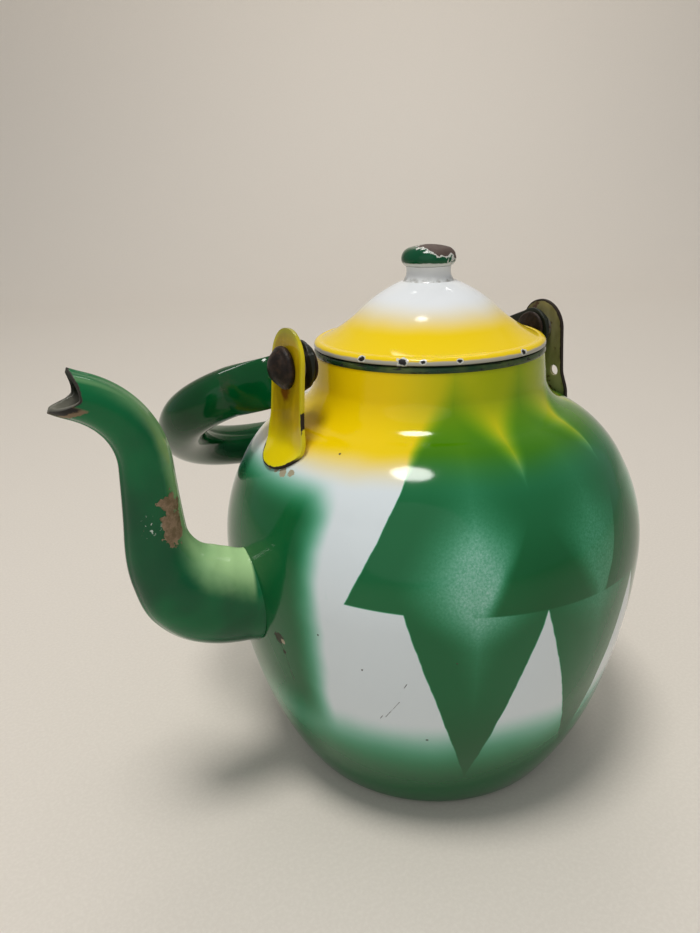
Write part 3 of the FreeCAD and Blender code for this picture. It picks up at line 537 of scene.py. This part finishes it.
# Green with a painted highlight in pale green along the top of the root and riser and a painted highlight
# line on the seam ridge; flaked at the bend, chipped and dark at the lips
def makeSpoutFinish():
    paint = Finish("spoutEnamelGreen", 0.1, enamel["green"])
    along, side, toLip = paint.mark("along"), paint.mark("side"), paint.mark("toLip")
    softSide = paint.total(side, paint.roughened(-0.25, 0.5, 16.0, 3.0))
    # painted highlight: pale green on the upper side of the root and in a streak up the riser
    upper = paint.fade(softSide, 0.12, 0.98)
    root = paint.fade(along, 62.0, 18.0)
    riser = paint.times(paint.fade(softSide, 0.25, 0.95), paint.fade(along, 125.0, 70.0), 0.6)
    pale = paint.calc("MAXIMUM", paint.times(upper, root), riser)
    # painted highlight: a thin pale line along the seam ridge of the crook
    ridge = paint.times(paint.fade(side, 0.62, 0.78), paint.fade(side, 0.95, 0.80))
    ridge = paint.times(ridge, paint.fade(along, 88.0, 105.0), 0.20)
    pale = paint.times(paint.calc("MAXIMUM", pale, ridge), paint.fade(along, 2.0, 4.5))
    paint.colour = paint.mix(paint.tone(0.3, 0.7, 30.0), enamel["green"], (0.002, 0.075, 0.026))
    paint.coat(pale, (0.50, 0.76, 0.36))
    # bare ground colour where the enamel has flaked off the bend, with an island left in it
    flake = paint.calc("MAXIMUM", paint.patch((-117.5, -9.0, 134.5), 5.6, 0.95, 4.0, (1.0, 1.0, 0.85)),
                       paint.patch((-117.0, -9.0, 143.5), 4.6, 0.95, 3.5))
    flake = paint.calc("MAXIMUM", flake, paint.patch((-129.5, -9.0, 136.0), 2.4, 0.9, 2.5, (1.4, 1.0, 0.7)))
    island = paint.patch((-115.0, -9.0, 140.0), 2.6, 0.9, 2.0)
    flaked = paint.times(paint.fade(flake, 0.0, 0.4), paint.fade(island, 0.3, 0.0))
    spots = paint.tone(0.35, 0.65, 2.4, 4.0, 0.65)
    paint.coat(flaked, paint.mix(spots, (0.17, 0.115, 0.06), (0.30, 0.20, 0.125)))
    near = paint.fade(paint.patch((-126.0, -9.0, 137.5), 5.0, 0.3), 0.0, 3.0)
    paint.coat(paint.times(paint.pits(1.3, 0.66), near), (0.5, 0.58, 0.5))
    lowerChip = paint.times(paint.fade(side, -0.30, -0.45), paint.fade(paint.y, 0.0, -2.0))
    # dark lips, brown and black where the lower one is chipped
    lip = paint.fade(paint.roughened(toLip, 1.6, 2.5, 3.0, 0.6), 1.7, 1.2)
    paint.coat(lip, (0.035, 0.028, 0.022))
    brown = paint.times(paint.fade(paint.roughened(toLip, 3.0, 2.0, 3.0, 0.6), 7.5, 6.5), lowerChip)
    dark = paint.times(paint.fade(paint.roughened(toLip, 3.0, 2.5, 3.0, 0.6), 5.0, 4.0), lowerChip)
    paint.coat(brown, (0.22, 0.15, 0.085))
    paint.coat(dark, (0.012, 0.010, 0.008))
    # inside the spout: grey dirt, with painted shade going near black towards the upper side of the tube
    insideDirtAndShade = paint.mix(paint.grain(4.0, 3.0, 0.6), (0.11, 0.11, 0.085), (0.27, 0.26, 0.21))
    insideDirtAndShade = paint.mix(paint.fade(side, -0.35, 0.25), insideDirtAndShade, (0.018, 0.024, 0.014))
    paint.coat(paint.mark("inside"), insideDirtAndShade)
    return fired(paint, paint.either(flaked, lip, paint.either(brown, dark)))


# Outer and inner skin in one grid that closes at the lips and at the root
def makeSpout():
    outer, inner = spoutSurface(0.0), spoutSurface(spoutDims["sheet"])
    grid, along, side, toLip = [np.concatenate([one, other[::-1]]) for one, other in zip(outer, inner)]
    inside = np.repeat([0.0, 1.0], spoutDims["along"])[:, None]
    marks = {"along": along, "side": side, "toLip": toLip, "inside": inside}
    addPiece("spout", grid, "kettle", ["spout_left_half", "spout_right_half"],
             makeSpoutFinish(), wrapRows=True, marks=marks)


makeSpout()

# Ears: a flat strap with a round top, whose foot spreads over the body's shoulder
earDims = {
    "front": {"face": 65.9, "lean": 0.085, "top": 198.4, "half": 12.6, "hole": 0.0},
    "rear": {"face": 66.1, "lean": 0.065, "top": 196.7, "half": 12.0, "hole": 2.4},
    "sheet": 1.4, "pivot": 184.0, "footHalf": 14.7, "footTop": 156.5, "footLow": 146.8, "footDepth": 11.0,
    "strapLow": 166.0, "strapSpread": 0.3, "holeSide": -7.9, "holeHeight": 165.2, "holeRings": (4, 8),
    "rows": 121, "cols": 49, "fillet": 2.6, "rounding": 0.4,
}
pivotHeight = earDims["pivot"]
sideSign = {"front": -1, "rear": 1}


# Half width by height: a circle over the top, slightly spread sides, half an ellipse at the foot.
# The strap's plane and the body's skin join in a hollow: larger of both, rounded by a square root.
def earSurface(side):
    d, own = earDims, earDims[side]
    topMiddle = own["top"] - own["half"]
    middle, reach = (d["footLow"] + own["top"]) / 2, (own["top"] - d["footLow"]) / 2
    height = (middle + reach * np.cos(np.linspace(0, math.pi, d["rows"])))[:, None]
    over = np.clip((height - topMiddle) / own["half"], 0, 1)
    below = np.clip((d["footTop"] - height) / (d["footTop"] - d["footLow"]), 0, 1)
    spread = smoothThrough([(d["footLow"], d["footHalf"]), (d["footTop"], d["footHalf"]),
                            (d["strapLow"], own["half"] + d["strapSpread"]),
                            (topMiddle, own["half"]), (own["top"], own["half"])], height)
    wide = spread * np.sqrt(1 - over ** 2) * np.sqrt(1 - below ** 2)
    across = wide * np.linspace(-1, 1, d["cols"])[None, :]
    height = height + 0 * across
    # distance from the outline, by the sides, the round top and the foot
    edge = wide - np.abs(across)
    fromTop = own["half"] - np.hypot(across, height - topMiddle)
    fromFoot = d["footDepth"] * (1 - np.hypot(across / d["footHalf"], below))
    edge = np.where(over > 0, np.minimum(edge, fromTop), edge)
    edge = np.where(below > 0, np.minimum(edge, fromFoot), edge)
    kept = np.ones((d["rows"] - 1, d["cols"] - 1), bool)
    if own["hole"]:
        across, height, kept = drillEar(across, height, kept, own["hole"])
    face = own["face"] + own["lean"] * (pivotHeight - height)
    skin = np.sqrt(np.clip(bodyRadius(height) ** 2 - across ** 2, 0, None)) + d["sheet"]
    gap = skin - face
    out = face + (gap + np.sqrt(gap * gap + d["fillet"] ** 2)) / 2
    return np.stack([sideSign[side] * out, across, height], -1), edge, kept


# A round hole in the grid: the square rings of cells about its middle turn into circles towards it
def drillEar(across, height, kept, radius):
    d = earDims
    row = np.abs(height[:, 0] - d["holeHeight"]).argmin()
    col = np.abs(across[row] - d["holeSide"]).argmin()
    rowsOff, colsOff = np.abs(np.arange(d["rows"]) - row), np.abs(np.arange(d["cols"]) - col)
    ring = np.maximum(rowsOff[:, None], colsOff[None, :])
    first, last = d["holeRings"]
    sideGap, upGap = across - across[row, col], height - height[row, col]
    far = np.hypot(sideGap, upGap)
    share = np.clip((ring - first) / (last - first), 0, 1)
    new = np.where(ring < last, (1 - share) * radius + share * far * last / np.maximum(ring, 1), far)
    scale = new / np.maximum(far, 1e-6)
    corner = np.maximum(np.maximum(ring[:-1, :-1], ring[1:, :-1]), np.maximum(ring[:-1, 1:], ring[1:, 1:]))
    return across[row, col] + sideGap * scale, height[row, col] + upGap * scale, kept & (corner > first)


# Yellow at the front, partly darkened by painted shade on the strap, with painted light on the upward foot
# and a painted highlight along the edge; bare olive at the rear; with rust, and dark where the edge has
# chipped
def makeEarFinish(side):
    paint = Finish(side + "EarEnamel", 0.2, enamel["yellow"])
    edge = paint.mark("edge")
    shade = paint.fade(paint.grain(9.0, 3.0, 0.55, place=paint.stretched(1, 1, 0.4)), 0.30, 0.70)
    ragged = paint.roughened(edge, -1.6, 3.2, 3.0, 0.6)
    if side == "front":
        # painted shade and light: the strap's yellow is partly darkened as if in shade, and the upward-facing
        # foot below it is painted brighter as if lit from above
        paint.colour = paint.mix(shade, (0.40, 0.26, 0.002), (0.62, 0.41, 0.003))
        paint.coat(paint.level(166.0, 152.0), (0.80, 0.62, 0.004))
        # painted highlight: a pale yellow line along the edge where the rounded bend catches the light
        paint.coat(paint.times(paint.fade(edge, 2.4, 0.4), 0.6), (0.72, 0.66, 0.01))
        paint.coat(paint.times(paint.level(192.0, 198.0), 0.7), (0.26, 0.26, 0.02))
        rust = paint.fade(paint.patch((-66.8, 0.0, 174.5), 5.0, 0.5, 5.0, (0.6, 0.9, 1.0)), 0.0, 3.0)
        paint.coat(rust, (0.20, 0.065, 0.003))
        ripple = paint.roughened(paint.z, 5.0, 1.8)
        flank = paint.times(paint.fade(paint.y, -8.0, -9.0), paint.fade(ripple, 164.5, 165.5),
                            paint.fade(ripple, 172.0, 171.0))
        under = paint.level(154.0, 151.0)
        bare = paint.either(paint.times(paint.fade(ragged, 0.0, -0.3), flank),
                            paint.times(paint.fade(ragged, -0.25, -0.5), under))
    else:
        paint.colour = paint.mix(shade, (0.16, 0.145, 0.05), (0.34, 0.31, 0.14))
        rust = paint.tone(0.56, 0.66, 7.0, 4.0, 0.6)
        paint.coat(rust, (0.09, 0.045, 0.02))
        bare = paint.fade(ragged, 0.1, -0.2)
    paint.coat(bare, (0.020, 0.012, 0.008))
    return fired(paint, bare, 0.10)


for earSide in sideSign:
    earGrid, earEdge, earKept = earSurface(earSide)
    ear = addPiece(earSide + "Ear", earGrid, "kettle", [earSide + "_ear"],
                   makeEarFinish(earSide), wrapCols=False, marks={"edge": earEdge}, kept=earKept)
    sheet = ear.modifiers.new("sheet", "SOLIDIFY")
    sheet.thickness = earDims["sheet"] * mm
    sheet.offset = -1.0
    rounding = ear.modifiers.new("rounding", "BEVEL")
    rounding.width = earDims["rounding"] * mm
    rounding.segments = 2
    rounding.limit_method = "ANGLE"
    rounding.angle_limit = sharpAngle

print("ears done")

# Lid: flared brim, swelling crown, and the collar under it
lidDims = {
    "turns": 240, "start": (44.6, 185.3),
    "outer": [(47.0, 185.3, 0, 4), (47.6, 186.0, 0.7, 5), (44.6, 188.2, 2.25, 12), (28.5, 198.8, -60, 24),
              (11.0, 210.3, 55, 24), (0.0, 210.3, 0, 6)],
    "inner": [(43.6, 187.4, 0, 5), (28.2, 197.9, -60, 20), (11.0, 209.4, 55, 20), (0.0, 209.4, 0, 4)],
    "collar": [(44.2, 170.3), (45.2, 170.3), (45.2, 185.3), (46.3, 185.3), (46.3, 186.2), (44.2, 186.2)],
    "chipOut": 47.2, "chipHeight": 187.0,
    # degrees round the brim and size
    "chips": [(-157.8, 1.2), (-138.0, 1.7), (-129.0, 0.9), (-113.0, 0.9), (-78.8, 1.2), (20.0, 1.3),
              (100.0, 1.5)],
}


# White crown that turns yellow down to the brim, a grey edge, a painted shadow line along the brim's
# underside, and chips edged with white
def makeLidFinish():
    d = lidDims
    paint = Finish("lidEnamel", 0.1, enamel["white"])
    yellow = paint.level(206.5, 195.0, 3.0, 30.0)
    paint.colour = paint.mix(yellow, (0.79, 0.81, 0.82), enamel["yellow"])
    paint.coat(paint.level(187.8, 187.2, 0.9, 5.0, 3.0, 0.6), (0.42, 0.40, 0.33))
    # painted shadow: a near-black line at the brim's lower edge, for the gap above the mouth rim
    paint.coat(paint.level(185.75, 185.55), (0.015, 0.014, 0.012))
    knocks, pale = [], []
    for degrees, size in d["chips"]:
        turn = math.radians(degrees)
        spot = (d["chipOut"] * math.cos(turn), d["chipOut"] * math.sin(turn), d["chipHeight"])
        knock = paint.patch(spot, size, 1.0, 1.3, (1.0, 1.0, 1.3))
        knocks.append(paint.fade(knock, 0.0, 0.25))
        pale.append(paint.fade(knock, -0.55, -0.35))
    paint.coat(paint.either(*pale), (0.62, 0.62, 0.56))
    chips = paint.either(*knocks)
    paint.coat(chips, (0.010, 0.008, 0.008))
    return fired(paint, chips)


lidOuter = profileRun(lidDims["start"], lidDims["outer"])
lidInner = profileRun(lidDims["start"], lidDims["inner"])
lidLoop = np.vstack([lidInner[::-1], lidOuter[1:]])
addPiece("lidDome", turned(lidLoop, lidDims["turns"]), "lid", ["lid_dome"], makeLidFinish())


# White enamel with dark pits
def makeCollarFinish():
    paint = Finish("collarEnamel", 0.2, enamel["white"])
    worn = paint.tone(0.60, 0.66, 4.0, 4.0, 0.6)
    paint.colour = paint.mix(worn, (0.66, 0.67, 0.64), enamel["bare"])
    return fired(paint, worn)


collarLine = profileRun(lidDims["collar"][0], [(*spot, 0, 6) for spot in lidDims["collar"][1:]])
addPiece("lidCollar", turned(collarLine, lidDims["turns"]), "lid", ["lid_collar"],
         makeCollarFinish(), wrapRows=True)

# Knob: white spool and green mushroom
knobDims = {
    "turns": 128, "low": 210.3, "foot": 10.4, "seat": 216.1,
    "neck": [(9.7, 211.4, -2.4, 6), (9.0, 213.4, -4.0, 6), (9.2, 216.1, -6.0, 6), (0.0, 216.1, 0, 4)],
    "cap": [(8.6, 216.1, 0, 4), (10.2, 216.8, 2.4, 6), (11.0, 219.4, 3.4, 10), (8.4, 223.0, 4.6, 10),
            (0.0, 224.3, 28.0, 12)],
}


# Dark green with a pale lip and a worn crown
def makeKnobFinish():
    paint = Finish("knobEnamelWorn", 0.12, enamel["green"])
    paint.colour = paint.mix(paint.grain(8.0), (0.001, 0.055, 0.020), (0.002, 0.095, 0.035))
    # a ragged bare patch on the crown, edged with the white ground coat
    worn = paint.patch((2.6, -5.0, 223.6), 6.8, 0.75, 4.5, (0.80, 0.85, 1.25))
    bare = paint.fade(worn, 0.25, 0.45)
    rim = paint.fade(worn, -0.65, -0.45)
    lip = paint.level(218.3, 217.9, 1.0, 4.0)
    paint.coat(paint.either(rim, lip), (0.62, 0.63, 0.58))
    iron = paint.mix(paint.grain(2.0, 4.0, 0.6), (0.060, 0.038, 0.030), (0.13, 0.09, 0.075))
    paint.coat(bare, iron)
    return fired(paint, bare)


# White, darker in patches at its foot where it meets the lid
def makeNeckFinish():
    paint = Finish("knobNeckEnamel", 0.12, enamel["white"])
    footDarkening = paint.times(paint.level(212.6, 210.6), paint.tone(0.35, 0.65, 3.0, 3.0, 0.6))
    paint.colour = paint.mix(paint.times(footDarkening, 0.7), (0.78, 0.79, 0.78), (0.25, 0.23, 0.19))
    return fired(paint)


neckLine = profileRun((0.0, knobDims["low"]), [(knobDims["foot"], knobDims["low"], 0, 4)] + knobDims["neck"])
capLine = profileRun((0.0, knobDims["seat"]), knobDims["cap"])
addPiece("knobNeck", turned(neckLine, knobDims["turns"]), "lid", ["knob_neck"],
         makeNeckFinish())
addPiece("knobCap", turned(capLine, knobDims["turns"]), "lid", ["knob_cap"], makeKnobFinish())

# Handle: a rolled tube bent to a D, with flattened ends that turn on the rivets
handleDims = {
    "lean": 33.89, "rise": 3.7, "depth": 115.6, "halfWidth": 92.4, "corner": 62.4, "hook": 30.0,
    "hookAngle": 55.0, "radius": 10.0, "around": 96, "rings": 220,
    "seam": 0.55, "seamTurn": 168.0, "seamWidth": 4.5, "seamEnd": 25.0,
    "lugInner": 58.0, "lugSheet": 2.4, "lugEye": 9.4, "lugReach": 20.5, "lugEnd": 10.3, "lugSwell": 0.7,
    "lugStartPull": 12.0, "lugEndPull": 17.0, "lugAround": 64, "lugSteps": (40, 36), "lugSquare": 0.55,
    # half thickness by share of the bend, between the tube and the flat stretch
    "lugThick": [(0.25, 7.6), (0.5, 4.0), (0.75, 1.9)],
}


# Handle points are (along the pivots, away from them, up) before the handle is laid back by its lean
def layBack(grid):
    lean = -math.radians(handleDims["lean"])
    away, up = grid[..., 1], grid[..., 2]
    back = away * math.cos(lean) - up * math.sin(lean)
    rise = away * math.sin(lean) + up * math.cos(lean)
    return np.stack([grid[..., 0], back, rise + pivotHeight], -1)


# The same rings with a point at each end, so that the piece is closed
def closedEnds(grid):
    first, last = [0 * end + end.mean(1, keepdims=True) for end in (grid[:1], grid[-1:])]
    return np.concatenate([first, grid, last])


# Half of the bow by length from its middle: straight grip, corner arc, hook arc towards the lug
def bowPath(length):
    d = handleDims
    grip = d["halfWidth"] - d["corner"]
    quarter = d["corner"] * math.pi / 2
    first = np.clip(length, 0, grip)
    second = np.clip(length - grip, 0, quarter) / d["corner"]
    third = np.clip(length - grip - quarter, 0, None) / d["hook"]
    heading = second + third
    across = first + d["corner"] * np.sin(second) - d["hook"] * (1 - np.cos(third))
    away = d["depth"] - d["corner"] * (1 - np.cos(second)) - d["hook"] * np.sin(third)
    return across, away, heading


bowLength = (handleDims["halfWidth"] - handleDims["corner"] + handleDims["corner"] * math.pi / 2
             + handleDims["hook"] * math.radians(handleDims["hookAngle"]))


# Tube: each ring is a circle about the path, drawn in a little along the rolled seam on the inner side
def bowSurface():
    d = handleDims
    place = np.linspace(-bowLength, bowLength, d["rings"])[:, None]
    turn = fullTurn(d["around"])[None, :]
    across, away, heading = bowPath(np.abs(place))
    sign = np.where(place < 0, -1.0, 1.0)
    outX, outY = sign * np.sin(heading), np.cos(heading)
    seamTurn = np.degrees((turn - math.radians(d["seamTurn"]) + math.pi) % (2 * math.pi) - math.pi)
    shown = np.clip((bowLength - np.abs(place)) / d["seamEnd"], 0, 1)
    ring = d["radius"] - d["seam"] * shown * np.exp(-(seamTurn / d["seamWidth"]) ** 2)
    side = ring * np.cos(turn)
    up = ring * np.sin(turn) + d["rise"] + 0 * place
    grid = np.stack([sign * across + outX * side, away + outY * side, up], -1)
    return layBack(closedEnds(grid))


# Dark green that is worn dull towards the pivots, black about the rivet, and rubbed brown at one bend
def makeHandleFinish(name):
    paint = Finish(name, 0.1, enamel["deepGreen"])
    paint.colour = paint.mix(paint.tone(0.3, 0.7, 24.0), (0.0004, 0.046, 0.009), (0.0006, 0.072, 0.016))
    # distance from the pivots along the laid-back arms
    lean = math.radians(handleDims["lean"])
    drop = paint.times(paint.less(pivotHeight, paint.z), math.sin(lean))
    away = paint.line(paint.y, math.cos(lean), drop)
    ends = paint.fade(paint.roughened(away, 6.0, 5.0, 3.0, 0.6), 25.0, 21.0)
    dull = paint.mix(paint.grain(3.0, 4.0, 0.65), (0.032, 0.040, 0.020), (0.060, 0.068, 0.038))
    paint.coat(paint.times(ends, 0.9), dull)
    eye = paint.fade(away, 14.0, 10.0)
    paint.coat(paint.times(eye, 0.9), (0.008, 0.010, 0.006))
    crease = paint.patch((-90.0, 64.0, 140.0), 7.0, 0.6, 6.0)
    rubbed = paint.times(paint.fade(crease, 0.0, 4.0), paint.tone(0.40, 0.60, 2.0, 3.0, 0.6))
    paint.coat(paint.times(rubbed, 0.7), (0.10, 0.055, 0.03))
    return fired(paint, rubbed=ends)


addPiece("handleBow", bowSurface(), "handle", ["handle_bow"],
         makeHandleFinish("handleEnamelGreen"))


# Lug: ovals from the tube's end along a cubic to the flat stretch, which ends in a half circle
def lugSurface(side):
    d = handleDims
    endX, endY, _ = bowPath(np.array(bowLength))
    hook = math.radians(d["hookAngle"])
    middle = d["lugInner"] + d["lugSheet"] / 2
    bendSteps, flatSteps = d["lugSteps"]
    t = np.concatenate([np.linspace(0, 1, bendSteps), np.ones(flatSteps)])[:, None]
    beyond = np.concatenate([np.zeros(bendSteps), np.linspace(0, 1, flatSteps + 1)[1:]])[:, None]
    ease = t * t * (3 - 2 * t)
    start = 1 - ease
    startPull, endPull = d["lugStartPull"] * t * (1 - t) ** 2, d["lugEndPull"] * t * t * (1 - t)
    across = start * endX + ease * middle - startPull * math.sin(hook)
    away = start * endY + ease * d["lugReach"] - startPull * math.cos(hook) + endPull
    away = away - (d["lugReach"] + d["lugEye"]) * np.sin(beyond * math.pi / 2)
    share = np.where(beyond > 0, np.clip(away / d["lugReach"], 0, 1), 1.0)
    tall = d["radius"] + (d["lugEnd"] - d["radius"]) * ease + d["lugSwell"] * np.sin(math.pi * t)
    tall = np.where(beyond > 0, d["lugEye"] + (d["lugEnd"] - d["lugEye"]) * share, tall)
    tall = tall * np.sqrt(np.clip(1 - (np.clip(-away, 0, None) / d["lugEye"]) ** 2, 0, 1))
    thick = smoothThrough([(0, d["radius"])] + d["lugThick"] + [(1, d["lugSheet"] / 2)], t)
    lean = hook * (1 - t * t)
    turn = fullTurn(d["lugAround"])[None, :]
    wide = np.sign(np.cos(turn)) * np.abs(np.cos(turn)) ** (1 - d["lugSquare"] * t ** 6) * thick
    up = np.sin(turn) * tall + d["rise"] * share
    grid = np.stack([across + wide * np.cos(lean), away - wide * np.sin(lean), up], -1)
    return layBack(closedEnds(grid * np.array([sideSign[side], 1, 1])))


lugFinish = makeHandleFinish("lugSteelWorn")
for lugSide in sideSign:
    addPiece(lugSide + "HandleLug", lugSurface(lugSide), "handle", [lugSide + "_handle_lug"],
             lugFinish)

print("handle done")

# Rivets: dark hammered heads on a shank, a little out of round
rivetDims = {
    "head": 8.2, "front": 7.2, "rear": 5.4, "face": 66.0, "shank": 3.0, "around": 96,
    "capRadius": 8.0, "capInner": 55.1, "capOuter": 57.7, "shankEnd": 56.1,
    "headWobble": 0.022, "capWobble": 0.03, "capPhase": 1.3,
}


# Nearly black steel with rusty spots, hammered
def makeRivetFinish():
    paint = Finish("rivetSteelDark", 0.45, (0.02, 0.012, 0.008))
    shade = paint.tone(0.35, 0.70, 4.0, 4.0, 0.65)
    paint.colour = paint.mix(shade, (0.010, 0.006, 0.004), (0.040, 0.022, 0.013))
    rust = paint.tone(0.62, 0.70, 2.5, 3.0, 0.6)
    paint.coat(paint.times(rust, 0.5), (0.09, 0.035, 0.014))
    gloss = paint.roughened(0.28, 0.35, 3.0, 3.0, 0.6)
    normal = paint.relief(paint.grain(3.5, 3.0, 0.55), 0.5, 0.7)
    return paint.done(gloss, normal, 0.3)


# Turned shape about the pivot axis; its radius wobbles with the angle where it is wide
def pivotTurned(line, side, phase, wobble):
    turn = fullTurn(rivetDims["around"])
    out, reach = line[:, :1], line[:, 1:]
    big = np.clip((out - 3.2) / 3.0, 0, 1)
    ring = out * (1 + big * wobble * (np.sin(2 * turn + phase) + 0.6 * np.sin(3 * turn + 2.1 * phase)))
    reach = sideSign[side] * (reach + 0 * turn)
    return np.stack([reach, ring * np.cos(turn), ring * np.sin(turn) + pivotHeight], -1)


# A rivet: domed head, brow, flat underside and shank; and the low dome of the cap on its inner end
def makeRivet(side, phase, finish):
    d = rivetDims
    face, end, inner, capOuter = d["face"], d["shankEnd"], d["capInner"], d["capOuter"]
    headLine = profileRun((0.0, face + d[side]), [
        (d["head"] - 1.2, face + 3.2, -9.2, 14), (d["head"], face + 1.6, -2.2, 6),
        (d["head"] - 0.5, face + 0.1, -1.8, 5), (d["shank"], face, 0, 4),
        (d["shank"], end, 0, 10), (0.0, end, 0, 4)])
    addPiece(side + "PivotRivet", pivotTurned(headLine, side, phase, d["headWobble"]), "kettle",
             [side + "_pivot_rivet"], finish)
    rivetCap = profileRun((0.0, inner), [
        (d["capRadius"] - 1.4, inner + 1.0, 14.0, 10), (d["capRadius"], capOuter - 0.5, 1.7, 6),
        (d["capRadius"] - 0.4, capOuter, 0.6, 3), (0.0, capOuter, 0, 6)])
    addPiece(side + "RivetCap", pivotTurned(rivetCap, side, phase + d["capPhase"], d["capWobble"]), "kettle",
             [side + "_rivet_cap"], finish)


rivetFinish = makeRivetFinish()
makeRivet("front", 0.7, rivetFinish)
makeRivet("rear", 2.0, rivetFinish)


# For solids that stay as they are: brushed steel with rust
def makeSteelFinish():
    paint = Finish("bareSteelAged", 0.4, (0.3, 0.29, 0.28))
    brushed = paint.grain(5.0, 4.0, 0.6, place=paint.stretched(0.3, 2.0, 2.0))
    paint.colour = paint.mix(brushed, (0.20, 0.19, 0.18), (0.38, 0.37, 0.35))
    rust = paint.tone(0.52, 0.66, 6.0, 4.0, 0.6)
    paint.coat(rust, enamel["rust"])
    gloss = paint.line(rust, 0.3, 0.35)
    return paint.done(gloss, paint.relief(brushed, 0.1, 0.5), 0.7)


# Dark green under soot, with scuffs
def makeBaseFinish():
    paint = Finish("baseEnamelWorn", 0.25, (0.02, 0.06, 0.02))
    soot = paint.tone(0.40, 0.62, 22.0, 5.0, 0.6)
    paint.colour = paint.mix(soot, (0.006, 0.055, 0.020), (0.012, 0.012, 0.010))
    scuff = paint.tone(0.60, 0.66, 3.0, 4.0, 0.65)
    paint.coat(scuff, (0.12, 0.09, 0.07))
    return fired(paint, scuff)


# A solid of the frame gets one material in place of its own
def dress(name, finish):
    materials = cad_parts[name].data.materials
    materials.clear()
    materials.append(finish)


steelFinish = makeSteelFinish()
for plainName in ("front_spacer", "rear_spacer", "knob_washer", "knob_rivet"):
    dress(plainName, steelFinish)
dress("base_plate", makeBaseFinish())
print("rivets and plain nodes done")

# Floor with a rising back, in metres; heading is the way from the camera to the back, in degrees
stageDims = {"near": -2.2, "far": 2.4, "half": 3.2, "bend": 0.9, "rise": 2.6, "heading": 59.5, "cols": 9}


# Floor strip carried across: level, then a quarter circle up, then upright
def makeStage():
    d = stageDims
    level = np.array([(d["near"], 0.0), (d["far"] - d["bend"], 0.0)])
    turn = np.linspace(0, math.pi / 2, 24)[1:]
    bend = np.stack([d["far"] - d["bend"] + d["bend"] * np.sin(turn), d["bend"] * (1 - np.cos(turn))], 1)
    strip = np.vstack([level, bend, [(d["far"], d["rise"])]])
    heading = math.radians(d["heading"])
    forward = np.array([math.cos(heading), math.sin(heading), 0])
    sideways = np.array([-forward[1], forward[0], 0])
    across = np.linspace(-d["half"], d["half"], d["cols"])[None, :, None]
    grid = strip[:, :1, None] * forward + across * sideways + strip[:, 1:, None] * np.array([0, 0, 1])
    mesh = bpy.data.meshes.new("stageFloor")
    mesh.from_pydata(grid.reshape(-1, 3), [], gridFaces(len(strip), d["cols"], False, False))
    mesh.shade_smooth()
    paint = Finish("floorPale", 0.6, (0.7, 0.64, 0.56))
    speck = paint.tone(0.35, 0.75, 1.6, 3.0, 0.6)
    paint.colour = paint.mix(speck, (0.75, 0.69, 0.61), (0.79, 0.73, 0.65))
    mesh.materials.append(paint.done())
    floor = placed("stageFloor", mesh)


makeStage()


# An oval lamp at a place, turned towards its aim
def addLamp(name, place, aim, size, watts, colour):
    lamp = bpy.data.lights.new(name, "AREA")
    lamp.shape = "ELLIPSE"
    lamp.size, lamp.size_y = size
    lamp.energy = watts
    lamp.color = colour
    turn = (Vector(aim) - Vector(place)).to_track_quat("-Z", "Y")
    placed(name, lamp).matrix_world = Matrix.Translation(place) @ turn.to_matrix().to_4x4()


addLamp("lampOver", (-0.30, -0.15, 1.50), (0.0, 0.0, 0.1), (0.42, 0.36), 11.0, (1.0, 0.98, 0.95))
addLamp("lampFill", (-1.4, -1.3, 1.0), (0.0, 0.0, 0.1), (2.4, 2.0), 4.6, (0.95, 0.98, 1.0))
addLamp("lampBack", (0.9, 1.0, 2.2), (1.2, 2.1, 0.8), (1.4, 0.5), 16.0, (1.0, 0.98, 0.95))
world = bpy.data.worlds.new("studio")
scene.world = world
world.use_nodes = True
sky = world.node_tree.nodes["Background"].inputs
sky["Color"].default_value = (0.92, 0.94, 0.97, 1)
sky["Strength"].default_value = 0.36

# Camera: its place in mm, and its forward and right directions, which yaw turns a little
view = {
    "place": (-181.405, -242.489, 242.962), "forward": (0.47500, 0.80797, -0.34864),
    "right": (0.85563, -0.51662, -0.03152), "yaw": 0.00276, "lens": 27.976, "sensor": 36.0, "near": 0.01,
}
camera = bpy.data.cameras.new("camera")
camera.sensor_fit = "VERTICAL"
camera.sensor_width = view["sensor"]
camera.sensor_height = view["sensor"]
camera.lens = view["lens"]
camera.clip_start = view["near"]
forward, right = np.array(view["forward"]), np.array(view["right"])
lookAlong = forward - view["yaw"] * right
lookRight = right + view["yaw"] * forward
lookAlong /= np.linalg.norm(lookAlong)
lookRight /= np.linalg.norm(lookRight)
lookUp = np.cross(lookRight, lookAlong)
axes = np.eye(4)
axes[:3, 0], axes[:3, 1], axes[:3, 2] = lookRight, lookUp, -lookAlong
axes[:3, 3] = np.array(view["place"]) * mm
scene.camera = placed("camera", camera)
scene.camera.matrix_world = Matrix(axes.tolist())
scene.view_settings.view_transform = "Standard"

print("scene ready")
